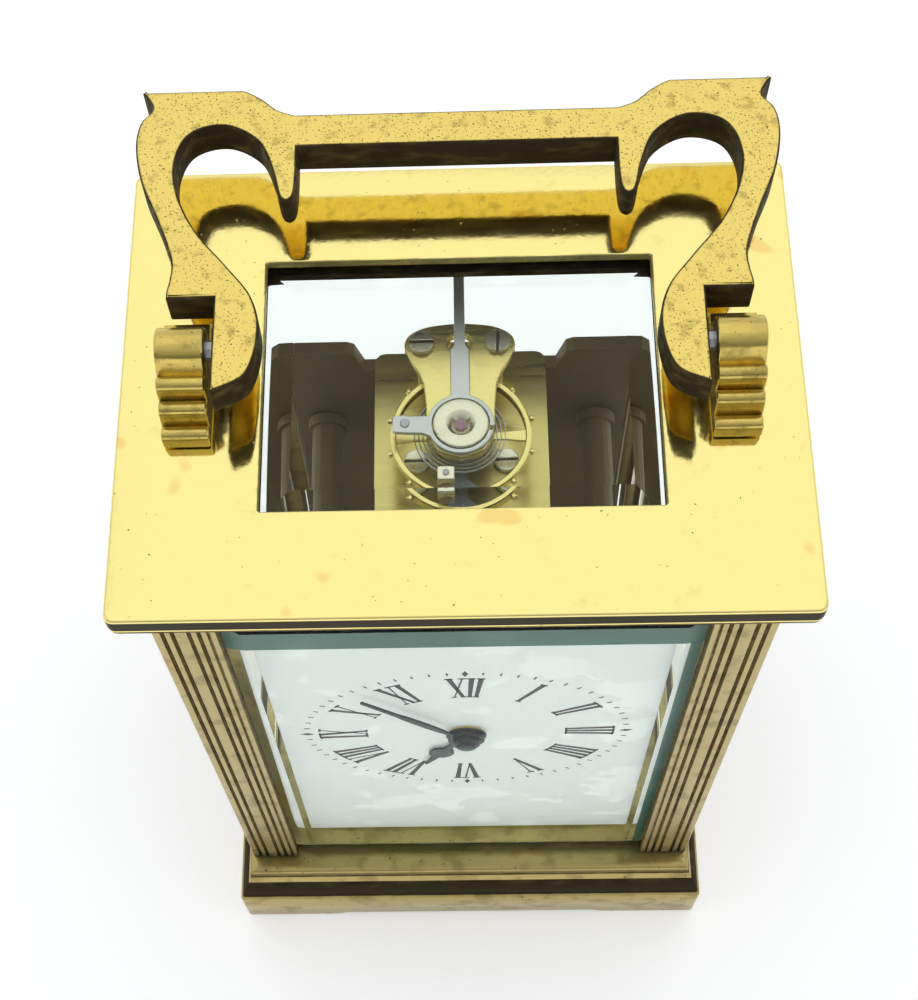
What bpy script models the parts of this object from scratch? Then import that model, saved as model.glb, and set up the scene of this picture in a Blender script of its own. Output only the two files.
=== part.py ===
"""Brass carriage clock with bevelled glasses, a folding handle and a lever-platform movement.

Run with: blender --background --python part.py
Frame: metres, +Z up, the dial faces -Y, the origin is under the middle of the base.
Every piece is one named object, and moving pieces have their origin on their own axis.
"""

import math

import bmesh
import bpy
from mathutils import Matrix, Vector
from mathutils.geometry import tessellate_polygon

MM = 0.001
GAP = 0.3 * MM              # air left between two pieces that touch

# ---------------------------------------------------------------- case sizes
BASE_W = 80.5 * MM          # plinth, left to right
BASE_D = 74.0 * MM          # plinth, front to back
FOOT_H = 11.2 * MM          # flat band round the foot of the plinth
BASE_H = 16.5 * MM          # top of the plinth ledge
FOOT_ARCH = 1.0 * MM        # lift of the foot between its corners
FOOT_LENGTH = 16.0 * MM     # how far each corner foot runs along its side
LEDGE_INSET = 2.8 * MM      # ledge edge, in from the foot band
FLOOR_T = 1.8 * MM          # floor plate
FLOOR_LIP = 4.0 * MM        # overlap of the floor plate under the plinth
LEDGE_LIP = 1.2 * MM        # ledge, in past the posts' inner faces
LEDGE_T = 2.0 * MM          # ledge over the floor plate

TOP_Z = 124.0 * MM          # upper face of the top plate
PLATE_W = 84.0 * MM
PLATE_D = 63.7 * MM
PLATE_T = 3.6 * MM
PLATE_CORNER = 1.2 * MM     # rounding of the plate's corners in plan
WINDOW_W = 48.6 * MM        # opening in the top plate
WINDOW_D = 35.4 * MM
WINDOW_LIP = 1.2 * MM       # plate left above the glass
GLASS_SEAT = 1.8 * MM       # width of glass hidden round the opening
CORNICE_T = 1.8 * MM        # frame under the top plate
CORNICE_INSET = 1.3 * MM

POST_SIZE = 7.8 * MM        # corner posts are square
POST_X = 37.4 * MM          # outer face of the posts, left and right
POST_Y = 30.7 * MM          # outer face of the posts, front and back
GLASS_T = 2.4 * MM
GLASS_SETBACK = 1.2 * MM    # glass face, in from the post face
SLOT_DEPTH = 1.8 * MM       # groove in the posts that holds a glass
BEVEL_W = 2.3 * MM          # visible bevel round each glass
BEVEL_DROP = 0.8 * MM
TOP_BEVEL_W = 3.2 * MM      # visible bevel round the top glass
TOP_BEVEL_DROP = 1.1 * MM

# ---------------------------------------------------------------- rear door
DOOR_T = 2.6 * MM
DOOR_RAIL = 3.6 * MM        # width of the door's brass rails
DOOR_FACE = 0.7 * MM        # door's outer face, in from the post face
DOOR_GLASS_T = 1.5 * MM
DOOR_GLASS_SEAT = 1.0 * MM
DOOR_PIN_R = 0.5 * MM
DOOR_PIN_IN = 2.2 * MM      # how far a hinge pin enters the door
KNOB_R = 2.4 * MM
KNOB_L = 4.4 * MM
DOOR_PIN_OUT = 0.5 * MM     # pin beyond the gap, inside the frame
DOOR_PIN_HOLE = 0.9 * MM    # depth of the pin's hole in the frame

# ---------------------------------------------------------------- handle and lugs
HANDLE_T = 4.8 * MM
PIVOT_H = 7.4 * MM          # handle axis above the top plate
LUG_X = 30.2 * MM           # inner face of a lug
LUG_W = 5.8 * MM
LUG_BACK_H = 4.6 * MM       # lug behind the axis, under the folded handle
LEDGE_U = 6.0 * MM          # step on the handle, above its axis
CUT_X = 29.2 * MM           # flat side of the handle's boss
BAR_U = 28.0 * MM           # lower edge of the hand bar, above the axis
BAR_W = 4.9 * MM
PIN_R = 1.3 * MM
PIN_IN = 4.0 * MM           # how far the pin enters the boss

# ---------------------------------------------------------------- dial and hands
DIAL_Z = TOP_Z - 57.3 * MM
DIAL_W = 55.0 * MM
DIAL_TOP = TOP_Z - 14.6 * MM
DIAL_LIFT = 0.6 * MM        # lower edge of the dial above the foot of the glasses
DIAL_SETBACK = 4.1 * MM     # dial's back face, behind the front glass
DIAL_T = 1.0 * MM
DIAL_FOOT_R = 1.0 * MM
DIAL_FOOT_X = 20.0 * MM     # feet to either side of the dial's centre line
DIAL_FOOT_Z = 30.0 * MM     # feet above and below the hands' axis
MINUTE_L = 21.8 * MM
HOUR_L = 14.2 * MM
HAND_T = 0.35 * MM
HAND_SPACE = 0.35 * MM      # air between one hand and the next
HAND_FIT = 0.1 * MM         # air between a hand and its pipe
SHOWN_MINUTES = 53.0
SHOWN_HOURS = 6.0 + SHOWN_MINUTES / 60.0

# ---------------------------------------------------------------- movement
FRONT_PLATE_Y = -16.0 * MM  # front face of the front plate
BACK_PLATE_Y = 14.0 * MM    # front face of the back plate
MOVE_T = 2.0 * MM           # thickness of both movement plates
MOVE_W = 46.8 * MM
NOTCH_W = 26.2 * MM         # gap between the plates' shoulders
SHOULDER_H = 4.5 * MM       # shoulders above the platform seat
PLATFORM_TOP = TOP_Z - 20.0 * MM
PLATFORM_T = 1.2 * MM
PLATFORM_W = 23.2 * MM
PLATFORM_Y0 = -16.6 * MM
PLATFORM_Y1 = 15.8 * MM
PLATFORM_SCREW_X = 5.95 * MM
PLATFORM_SCREW_Y = -1.3 * MM
PILLAR_R = 2.2 * MM
PILLAR_X = 19.2 * MM
PILLAR_LOW = 6.0 * MM       # lower pillars above the floor
PILLAR_HIGH = 13.0 * MM     # upper pillars below the platform seat
ARBOR_R = 0.8 * MM
PIVOT_PLAY = 0.3 * MM

BARREL_TEETH = 80
BARREL_PINION = 10
INTER_TEETH = 60
CENTRE_PINION = 10
CENTRE_TEETH = 64
THIRD_PINION = 8
THIRD_TEETH = 60
CONTRATE_PINION = 8
CONTRATE_TEETH = 64
ESCAPE_PINION = 8
ESCAPE_TEETH = 15
BARREL_MODULE = 0.40 * MM
INTER_MODULE = 0.38 * MM
CENTRE_MODULE = 0.36 * MM
THIRD_MODULE = 0.33 * MM
CONTRATE_R = 8.5 * MM
CONTRATE_DROP = 6.2 * MM    # escape pinion's mesh with the contrate wheel, below the platform seat
WHEEL_T = 1.0 * MM
PINION_T = 2.2 * MM
BARREL_H = 15.0 * MM        # drum behind the great wheel
BARREL_WALL = 0.9 * MM
BARREL_Z = DIAL_Z - 26.9 * MM
RATCHET_R = 6.2 * MM
RATCHET_TEETH = 24
CANNON_TEETH = 14
MINUTE_TEETH = 42
MINUTE_PINION = 10
HOUR_TEETH = 40
MOTION_MODULE = 0.30 * MM
CANNON_R = 1.5 * MM
CANNON_BORE = 1.1 * MM
HOUR_TUBE_R = 2.3 * MM
HOUR_TUBE_BORE = 1.8 * MM

BALANCE_R = 9.2 * MM
BALANCE_Z = PLATFORM_TOP + 4.2 * MM
BALANCE_T = 1.3 * MM
STAFF_R = 0.5 * MM
LEVER_Y = -5.4 * MM
ESCAPE_Y = -10.8 * MM
ESCAPE_R = 3.3 * MM
COCK_TOP = TOP_Z - 12.7 * MM
COCK_T = 1.3 * MM
COCK_W = 14.6 * MM
COCK_FOOT_IN = 6.1 * MM     # front of the cock's foot, in from the platform's back edge
COCK_SCREW_IN = 3.3 * MM    # cock screws and hole, in from the platform's back edge
COCK_SCREW_X = 5.0 * MM
COCK_HOLE_R = 1.66 * MM
INDEX_T = 0.7 * MM
INDEX_R = 4.3 * MM
INDEX_REACH = 25.4 * MM
CAP_R = 3.6 * MM
SCREW_R = 1.66 * MM

# ---------------------------------------------------------------- values worked out from the sizes
CORNICE_TOP = TOP_Z - PLATE_T - GAP
CORNICE_BOTTOM = CORNICE_TOP - CORNICE_T
FRAME_Z0 = BASE_H + GAP                    # lowest point of posts and glasses
FRAME_Z1 = CORNICE_BOTTOM - GAP
OPEN_X = POST_X - POST_SIZE                # clear half width between posts
OPEN_Y = POST_Y - POST_SIZE
FLOOR_TOP = BASE_H - LEDGE_T - GAP
DIAL_BOTTOM = FRAME_Z0 + DIAL_LIFT
DIAL_Y = GLASS_SETBACK + GLASS_T + DIAL_SETBACK - POST_Y    # dial's back face
SEAT_Z = PLATFORM_TOP - PLATFORM_T - GAP   # platform seat on the movement plates
MOVE_Z0 = FLOOR_TOP + GAP
MOVE_IN_Y = FRONT_PLATE_Y + MOVE_T         # inner face of the front plate
BACK_OUT_Y = BACK_PLATE_Y + MOVE_T
PIVOT_Z = TOP_Z + PIVOT_H


def clear_scene():
    """Remove every object, so that the script can run again in an open file."""
    for old in list(bpy.data.objects):
        bpy.data.objects.remove(old, do_unlink=True)


# ---------------------------------------------------------------- materials
FINISHES = {
    "brass_polished": ((0.86, 0.64, 0.24), 0.18, 1.0),
    "brass_aged": ((0.62, 0.50, 0.26), 0.34, 1.0),
    "brass_movement": ((0.80, 0.62, 0.28), 0.28, 1.0),
    "steel": ((0.46, 0.46, 0.47), 0.25, 1.0),
    "nickel": ((0.66, 0.65, 0.62), 0.30, 1.0),
    "blued_steel": ((0.05, 0.06, 0.08), 0.30, 0.8),
    "dial_white": ((0.86, 0.87, 0.85), 0.45, 0.0),
    "clear_glass": ((0.80, 0.90, 0.86), 0.05, 0.0),
}


def finish(name):
    """Principled material with one of the clock's finishes."""
    found = bpy.data.materials.get(name)
    if found:
        return found
    colour, roughness, metallic = FINISHES[name]
    material = bpy.data.materials.new(name)
    material.use_nodes = True
    shader = material.node_tree.nodes["Principled BSDF"]
    shader.inputs["Base Color"].default_value = (*colour, 1.0)
    shader.inputs["Roughness"].default_value = roughness
    shader.inputs["Metallic"].default_value = metallic
    if name == "clear_glass":
        shader.inputs["Alpha"].default_value = 0.35
    return material


# ---------------------------------------------------------------- outlines in two dimensions
def circle(radius, steps=24, phase=0.0):
    """Points round a circle, anticlockwise."""
    return [(radius * math.cos(phase + math.tau * i / steps),
             radius * math.sin(phase + math.tau * i / steps)) for i in range(steps)]


def rectangle(x0, y0, x1, y1):
    return [(x0, y0), (x1, y0), (x1, y1), (x0, y1)]


def rounded_rectangle(x0, y0, x1, y1, radius, steps=3):
    """Rectangle whose corners are quarter circles of steps + 1 points."""
    centres = ((x1 - radius, y1 - radius), (x0 + radius, y1 - radius),
               (x0 + radius, y0 + radius), (x1 - radius, y0 + radius))
    points = []
    for quarter, (cx, cy) in enumerate(centres):
        for i in range(steps + 1):
            angle = (quarter + i / steps) * math.pi / 2
            points.append((cx + radius * math.cos(angle), cy + radius * math.sin(angle)))
    return points


def arc(cx, cy, radius, start, end, steps):
    """Points of an arc in degrees, both ends included."""
    angles = [math.radians(start + (end - start) * i / steps) for i in range(steps + 1)]
    return [(cx + radius * math.cos(a), cy + radius * math.sin(a)) for a in angles]


def smooth(points, steps=4):
    """Catmull-Rom curve through the points, with steps pieces between two of them."""
    ends = [points[0]] + list(points) + [points[-1]]
    curve = []
    for p0, p1, p2, p3 in zip(ends, ends[1:], ends[2:], ends[3:]):
        for i in range(steps):
            t = i / steps
            curve.append(tuple(
                0.5 * (2 * b + (c - a) * t + (2 * a - 5 * b + 4 * c - d) * t * t
                       + (3 * b - a - 3 * c + d) * t ** 3)
                for a, b, c, d in zip(p0, p1, p2, p3)))
    curve.append(points[-1])
    return curve


def scaled(points, unit):
    return [(x * unit, y * unit) for x, y in points]


def moved(points, dx, dy):
    return [(x + dx, y + dy) for x, y in points]


def turned(points, angle):
    """Outline turned anticlockwise by an angle in radians."""
    c, s = math.cos(angle), math.sin(angle)
    return [(c * x - s * y, s * x + c * y) for x, y in points]


def wheel_outline(teeth, module, phase=0.0):
    """Pointed teeth of a large wheel: a root, a tip and a root for each tooth."""
    root = module * (teeth / 2 - 1.15)
    tip = module * (teeth / 2 + 0.95)
    pitch = math.tau / teeth
    points = []
    for i in range(teeth):
        for share, radius in ((-0.27, root), (0.0, tip), (0.27, root)):
            angle = phase + (i + share) * pitch
            points.append((radius * math.cos(angle), radius * math.sin(angle)))
    return points


def pinion_outline(leaves, module, phase=0.0):
    """Flat-topped leaves of a pinion, four points to each leaf."""
    root = module * (leaves / 2 - 1.2)
    tip = module * (leaves / 2 + 0.8)
    pitch = math.tau / leaves
    points = []
    for i in range(leaves):
        for share, radius in ((-0.21, root), (-0.09, tip), (0.09, tip), (0.21, root)):
            angle = phase + (i + share) * pitch
            points.append((radius * math.cos(angle), radius * math.sin(angle)))
    return points


# ---------------------------------------------------------------- solids
AXES = {
    "Z": Matrix.Identity(3),
    "Y": Matrix(((1, 0, 0), (0, 0, -1), (0, 1, 0))),   # plan (x, y) becomes (x, z), height runs to -Y
    "X": Matrix(((0, 0, 1), (1, 0, 0), (0, 1, 0))),    # plan (x, y) becomes (y, z), height runs to +X
}


def fill(bm, loops):
    """Triangles between an outer loop and the loops inside it."""
    flat = [vert for loop in loops for vert in loop]
    for triple in tessellate_polygon([[v.co for v in loop] for loop in loops]):
        bm.faces.new([flat[i] for i in triple])


def stack(sections):
    """Closed solid from coaxial sections (outline, height from, height to).

    Neighbouring outlines lie wholly inside one another, and the step between them is filled.
    """
    bm = bmesh.new()
    previous = None
    for outline, low, high in sections:
        bottom = [bm.verts.new((x, y, low)) for x, y in outline]
        top = [bm.verts.new((x, y, high)) for x, y in outline]
        for i in range(len(outline)):
            j = (i + 1) % len(outline)
            bm.faces.new((bottom[i], bottom[j], top[j], top[i]))
        fill(bm, [bottom] if previous is None else step_loops(previous, bottom))
        previous = top
    fill(bm, [previous])
    return bm


def step_loops(one, other):
    """The larger loop first, as a filled face with a hole needs it."""
    reach = [max(v.co.xy.length for v in loop) for loop in (one, other)]
    return [one, other] if reach[0] > reach[1] else [other, one]


def prism(outline, low, high, holes=()):
    """Outline with holes, drawn out between two heights."""
    bm = bmesh.new()
    ends = []
    for height in (low, high):
        ends.append([[bm.verts.new((x, y, height)) for x, y in loop]
                     for loop in (outline, *holes)])
    for bottom, top in zip(*ends):
        for i in range(len(bottom)):
            j = (i + 1) % len(bottom)
            bm.faces.new((bottom[i], bottom[j], top[j], top[i]))
    for loops in ends:
        fill(bm, loops)
    return bm


def turned_solid(profile, steps=24):
    """Closed profile of (radius, height) points spun round Z; radius 0 makes a pole."""
    bm = bmesh.new()
    rings = []
    for radius, height in profile:
        if radius == 0:
            rings.append([bm.verts.new((0, 0, height))] * steps)
        else:
            rings.append([bm.verts.new((x, y, height)) for x, y in circle(radius, steps)])
    closed = profile[0][0] != 0
    pairs = list(zip(rings, rings[1:])) + ([(rings[-1], rings[0])] if closed else [])
    for low, high in pairs:
        for i in range(steps):
            j = (i + 1) % steps
            corners = []
            for vert in (low[i], low[j], high[j], high[i]):
                if vert not in corners:
                    corners.append(vert)
            if len(corners) > 2:
                bm.faces.new(corners)
    return bm


def bevelled_panel(width, height, thickness, margin, drop):
    """Glass panel on z 0 to thickness, with a bevel of the margin's width on its upper face."""
    bm = bmesh.new()
    w, h = width / 2, height / 2
    rings = []
    for inset, level in ((0, 0), (0, thickness - drop), (margin, thickness)):
        rings.append([bm.verts.new((x, y, level)) for x, y in
                      rectangle(-w + inset, -h + inset, w - inset, h - inset)])
    for low, high in zip(rings, rings[1:]):
        for i in range(4):
            j = (i + 1) % 4
            bm.faces.new((low[i], low[j], high[j], high[i]))
    bm.faces.new(reversed(rings[0]))
    bm.faces.new(rings[-1])
    return bm


def add_piece(name, bm, look, origin=(0, 0, 0), axis="Z", parent=None, sharp=30.0):
    """Turn a drawn solid into a named object whose origin is at a place of the clock."""
    bmesh.ops.transform(bm, matrix=AXES[axis].to_4x4(), verts=bm.verts)
    bmesh.ops.recalc_face_normals(bm, faces=bm.faces)
    mesh = bpy.data.meshes.new(name)
    bm.to_mesh(mesh)
    bm.free()
    mesh.shade_smooth()
    mesh.set_sharp_from_angle(angle=math.radians(sharp))
    mesh.materials.append(finish(look))
    piece = bpy.data.objects.new(name, mesh)
    bpy.context.scene.collection.objects.link(piece)
    piece.location = origin
    if parent:
        piece.parent = parent
        piece.location = Vector(origin) - parent.location
    return piece


def add_axis(name, place):
    """Empty on a joint's axis, for the pieces that turn together."""
    empty = bpy.data.objects.new(name, None)
    bpy.context.scene.collection.objects.link(empty)
    empty.location = place
    return empty


def cut(piece, name, bm, axis="Z", origin=(0, 0, 0)):
    """Subtract a solid from a piece; the cutter stays in the file as a hidden guide."""
    cutter = add_piece(name, bm, "steel", origin, axis)
    hide_guide(cutter)
    modifier = piece.modifiers.new(name, "BOOLEAN")
    modifier.operation = "DIFFERENCE"
    modifier.object = cutter


def join_to(piece, name, bm, axis="Z", origin=(0, 0, 0)):
    """Add a solid that runs into a piece."""
    other = add_piece(name, bm, "steel", origin, axis)
    hide_guide(other)
    modifier = piece.modifiers.new(name, "BOOLEAN")
    modifier.operation = "UNION"
    modifier.object = other


def hide_guide(guide):
    guide.hide_render = True
    guide.display_type = "WIRE"


# ---------------------------------------------------------------- case
def plinth_section(lift, width):
    """Plinth moulding as (inset from the foot band, height), from its inner foot round to its ledge.

    The width runs from the foot band to the inner faces of the posts that stand on the ledge.
    """
    inner = width + LEDGE_LIP
    wide = inner - FLOOR_LIP
    floor_under = FLOOR_TOP - FLOOR_T - GAP
    cove = [(0.2 * MM + 1.5 * MM * (1 - math.cos(a)), FOOT_H + 0.2 * MM + 3.2 * MM * math.sin(a))
            for a in (0, math.pi / 6, math.pi / 3, math.pi / 2)]
    return ([(wide, lift), (0.3 * MM, lift), (0, lift + 0.3 * MM), (0, FOOT_H)] + cove
            + [(1.7 * MM, BASE_H - 1.6 * MM), (LEDGE_INSET - 0.4 * MM, BASE_H - 1.2 * MM),
               (LEDGE_INSET, BASE_H), (inner, BASE_H), (inner, FLOOR_TOP + GAP),
               (wide, FLOOR_TOP + GAP), (wide, floor_under)])


def add_plinth():
    """Mitred moulding round the base, with its foot arched between the corners."""
    half_w, half_d = BASE_W / 2, BASE_D / 2
    stations = []
    for quarter in range(4):
        run, across, run_open, across_open = half_w, half_d, OPEN_X, OPEN_Y
        if quarter % 2:
            run, across, run_open, across_open = half_d, half_w, OPEN_Y, OPEN_X
        foot = run - max(FOOT_LENGTH, run - run_open + LEDGE_LIP + GAP)
        for place, lift in ((-run, 0), (-foot, 0), (-foot + 2.5 * MM, FOOT_ARCH),
                            (foot - 2.5 * MM, FOOT_ARCH), (foot, 0)):
            section = plinth_section(lift, across - across_open)
            mitre = [0.0] * len(section)
            if abs(place) == run:
                mitre = [inset for inset, _ in plinth_section(lift, run - run_open)]
            stations.append((quarter, place, across, section, mitre))
    bm = bmesh.new()
    rings = []
    for quarter, place, across, section, mitre in stations:
        ring = []
        for (inset, height), end_inset in zip(section, mitre):
            x, y = place + end_inset, -across + inset
            for _ in range(quarter):
                x, y = -y, x
            ring.append(bm.verts.new((x, y, height)))
        rings.append(ring)
    for ring, following in zip(rings, rings[1:] + rings[:1]):
        for i in range(len(ring)):
            j = (i + 1) % len(ring)
            bm.faces.new((ring[i], ring[j], following[j], following[i]))
    add_piece("base_plinth", bm, "brass_aged")


def add_floor():
    """Floor plate in the rebate under the plinth's ledge."""
    half_w = OPEN_X - LEDGE_LIP + FLOOR_LIP - GAP
    half_d = OPEN_Y - LEDGE_LIP + FLOOR_LIP - GAP
    outline = rounded_rectangle(-half_w, -half_d, half_w, half_d, 0.5 * MM, 2)
    add_piece("base_plate", prism(outline, FLOOR_TOP - FLOOR_T, FLOOR_TOP), "brass_aged")


def post_section(front):
    """Corner post in plan, outer corner at the origin and the post towards -X and -Y."""
    s = POST_SIZE
    slot0 = GLASS_SETBACK - GAP
    slot1 = GLASS_SETBACK + GLASS_T + GAP
    d = SLOT_DEPTH
    points = [(0, 0), (0, -s), (-slot0, -s), (-slot0, -s + d), (-slot1, -s + d), (-slot1, -s), (-s, -s)]
    if front:
        points += [(-s, -slot1), (-s + d, -slot1), (-s + d, -slot0), (-s, -slot0)]
    return points + [(-s, 0)]


def add_posts():
    for side, sx in (("left", -1), ("right", 1)):
        for end, sy in (("front", -1), ("rear", 1)):
            outline = [(sx * (POST_X + x), sy * (POST_Y + y)) for x, y in post_section(end == "front")]
            add_piece(f"post_{end}_{side}", prism(outline, FRAME_Z0, FRAME_Z1), "brass_aged")


def add_top():
    """Top plate with its window and rebate, the cornice frame below it and the glass between them."""
    outer = rounded_rectangle(-PLATE_W / 2, -PLATE_D / 2, PLATE_W / 2, PLATE_D / 2, PLATE_CORNER)
    seat_w, seat_d = WINDOW_W / 2 + GLASS_SEAT, WINDOW_D / 2 + GLASS_SEAT
    plate = add_piece("top_plate", prism(outer, TOP_Z - PLATE_T, TOP_Z), "brass_polished")
    cut(plate, "window_cutter", prism(rectangle(-WINDOW_W / 2, -WINDOW_D / 2, WINDOW_W / 2, WINDOW_D / 2),
                                      TOP_Z - 2 * PLATE_T, TOP_Z + PLATE_T))
    cut(plate, "window_rebate", prism(rectangle(-seat_w, -seat_d, seat_w, seat_d),
                                      TOP_Z - 2 * PLATE_T, TOP_Z - WINDOW_LIP))
    w, d = PLATE_W / 2 - CORNICE_INSET, PLATE_D / 2 - CORNICE_INSET
    ring = rounded_rectangle(-w, -d, w, d, PLATE_CORNER)
    inner = rectangle(-WINDOW_W / 2, -WINDOW_D / 2, WINDOW_W / 2, WINDOW_D / 2)
    cornice = add_piece("cornice_frame", prism(ring, CORNICE_BOTTOM, CORNICE_TOP, [inner]), "brass_aged")
    cut(cornice, "cornice_pin_hole", prism(circle(DOOR_PIN_R + GAP, 12), -CORNICE_T, DOOR_PIN_HOLE),
        origin=(*hinge_place(), CORNICE_BOTTOM))
    low = CORNICE_TOP + GAP
    thick = TOP_Z - WINDOW_LIP - GAP - low
    panel = bevelled_panel(2 * (seat_w - GAP), 2 * (seat_d - GAP), thick, TOP_BEVEL_W + GLASS_SEAT,
                           TOP_BEVEL_DROP)
    add_piece("top_glass", panel, "clear_glass", (0, 0, low))


def add_panes():
    """Front and side glasses, bevelled on the outside and held in the posts' grooves."""
    height = FRAME_Z1 - FRAME_Z0
    middle = (FRAME_Z0 + FRAME_Z1) / 2
    reach = SLOT_DEPTH - GAP
    margin = BEVEL_W + reach
    front = bevelled_panel(2 * (OPEN_X + reach), height, GLASS_T, margin, BEVEL_DROP)
    add_piece("front_glass", front, "clear_glass", (0, -POST_Y + GLASS_SETBACK + GLASS_T, middle), "Y")
    for side, sx in (("left", -1), ("right", 1)):
        pane = bevelled_panel(2 * (OPEN_Y + reach), height, GLASS_T, margin, BEVEL_DROP)
        if sx < 0:
            bmesh.ops.scale(pane, vec=(1, 1, -1), verts=pane.verts)
        place = sx * (POST_X - GLASS_SETBACK - GLASS_T)
        add_piece(f"side_glass_{side}", pane, "clear_glass", (place, 0, middle), "X")


def hinge_place():
    """Door axis in plan: half a thickness in from the door's right edge and outer face."""
    return (OPEN_X - GAP - DOOR_T / 2, POST_Y - DOOR_FACE - DOOR_T / 2)


def add_door():
    """Rear door: a brass frame with a half-round hinge edge, its glass, knob and two pins."""
    hx, hy = hinge_place()
    axis = add_axis("rear_door_axis", (hx, hy, 0))
    low, high = FRAME_Z0, FRAME_Z1
    left = -OPEN_X + GAP
    r = DOOR_T / 2
    plan = [(left, hy + r), (left, hy - r)] + arc(hx, hy, r, -90, 90, 8)
    frame = prism(moved(plan, -hx, -hy), low, high)
    door = add_piece("rear_door_frame", frame, "brass_aged", (hx, hy, 0), parent=axis)
    x0, x1 = left + DOOR_RAIL, hx + r - DOOR_RAIL
    z0, z1 = low + DOOR_RAIL, high - DOOR_RAIL
    cut(door, "door_window", prism(rectangle(x0, hy - 2 * DOOR_T, x1, hy + 2 * DOOR_T), z0, z1))
    seat = DOOR_GLASS_SEAT
    inside = hy - r
    cut(door, "door_rebate", prism(rectangle(x0 - seat, inside - DOOR_T, x1 + seat,
                                             inside + DOOR_GLASS_T + GAP), z0 - seat, z1 + seat))
    for end, mouth, inward in (("bottom", low, 1), ("top", high, -1)):
        levels = sorted((-inward * MM, inward * DOOR_PIN_IN))
        cut(door, f"door_pin_hole_{end}", prism(circle(DOOR_PIN_R + GAP, 12), *levels), origin=(hx, hy, mouth))
        inner_end = mouth + inward * (DOOR_PIN_IN - GAP)
        outer_end = mouth - inward * (2 * GAP + DOOR_PIN_OUT)
        pin = prism(circle(DOOR_PIN_R, 12), min(inner_end, outer_end), max(inner_end, outer_end))
        add_piece(f"door_pin_{end}", pin, "steel", (hx, hy, 0))
    cut(bpy.data.objects["base_plinth"], "plinth_pin_hole",
        prism(circle(DOOR_PIN_R + GAP, 12), -DOOR_PIN_HOLE, CORNICE_T), origin=(hx, hy, BASE_H))
    glass_w = x1 - x0 + 2 * (seat - GAP)
    glass_h = z1 - z0 + 2 * (seat - GAP)
    pane = bevelled_panel(glass_w, glass_h, DOOR_GLASS_T, BEVEL_W + seat, BEVEL_DROP)
    bmesh.ops.rotate(pane, matrix=Matrix.Rotation(math.pi, 3, "Y"), verts=pane.verts)
    add_piece("rear_door_glass", pane, "clear_glass",
              ((x0 + x1) / 2, inside + GAP / 2, (z0 + z1) / 2), "Y", axis)
    knob = [(0, 0), (1.1 * MM, 0), (1.1 * MM, 1.2 * MM), (KNOB_R - 0.5 * MM, 1.8 * MM),
            (KNOB_R, 2.6 * MM), (KNOB_R - 0.4 * MM, KNOB_L - 0.6 * MM), (KNOB_R - 1.2 * MM, KNOB_L), (0, KNOB_L)]
    bm = turned_solid(knob, 20)
    bmesh.ops.rotate(bm, matrix=Matrix.Rotation(math.pi, 3, "X"), verts=bm.verts)
    add_piece("door_knob", bm, "brass_aged",
              (left + DOOR_RAIL / 2, hy + r + GAP, (low + high) / 2), "Y", axis)


# ---------------------------------------------------------------- handle and lugs
def handle_half():
    """Right half of the handle: across from the middle, up from the axis, from the bar's foot."""
    mm = MM
    hook = [(19.8 * mm, BAR_U), (20.0 * mm, 20.6 * mm), (20.7 * mm, 19.8 * mm), (21.7 * mm, 20.4 * mm)]
    inside = smooth(scaled([(22.6, 24.0), (24.6, 28.8), (28.8, 31.4), (33.2, 30.2), (34.9, 26.0),
                            (34.3, 21.0), (31.8, 15.6), (28.0, 10.7), (24.8, 6.2), (23.7, 1.2),
                            (25.0, -4.6), (29.0, -6.9)], mm), 5)
    step = [(CUT_X, -6.9 * mm), (CUT_X, LEDGE_U), (35.0 * mm, LEDGE_U), (35.0 * mm, LEDGE_U + 1.0 * mm)]
    outside = smooth(scaled([(34.7, 8.6), (34.7, 11.6), (36.6, 17.2), (39.0, 23.2), (40.0, 28.6),
                             (39.6, 32.2), (38.2, 34.4), (39.6, 37.0)], mm), 4)
    top = BAR_U + BAR_W
    shoulder = smooth([(26.9 * mm, 37.0 * mm), (25.8 * mm, 36.5 * mm), (24.2 * mm, 35.4 * mm),
                       (22.4 * mm, top + 0.9 * mm), (20.2 * mm, top)], 3)
    return hook + inside + step + outside + shoulder


def add_handle():
    """Handle folded flat to the back: its outline lies in plan and its thickness is upright."""
    right = handle_half()
    outline = right + [(-x, u) for x, u in reversed(right)]
    axis = add_axis("handle_axis", (0, 0, PIVOT_Z))
    handle = add_piece("handle", prism(outline, -HANDLE_T / 2, HANDLE_T / 2), "brass_aged",
                       (0, 0, PIVOT_Z), parent=axis, sharp=40.0)
    depth = PIN_IN + GAP
    for side, sx in (("left", -1), ("right", 1)):
        far, near = sx * (CUT_X - depth), sx * (CUT_X + 1 * MM)
        cut(handle, f"handle_pin_hole_{side}",
            prism(circle(PIN_R + GAP, 16), min(far, near), max(far, near)), "X", (0, 0, PIVOT_Z))


def lug_profile():
    """Lug seen from the side, (front to back, height): four rounded steps rise to the axis."""
    mm = MM
    crest = PIVOT_H + 2.75 * mm
    steps = []
    for centre, height in ((-8.0, 2.4), (-6.0, 5.0), (-4.2, 7.6)):
        steps += arc(centre * mm, (height - 1.0) * mm, 1.0 * mm, 180, 20, 4)
    head = arc(0, PIVOT_H, crest - PIVOT_H, 165, 0, 8)
    back = [(2.75 * mm, LUG_BACK_H), (5.4 * mm, LUG_BACK_H)] + arc(6.2 * mm, 1.6 * mm, 1.0 * mm, 90, 0, 3)
    return [(-9.0 * mm, 0)] + steps + head + back + [(7.2 * mm, 0)]


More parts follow.
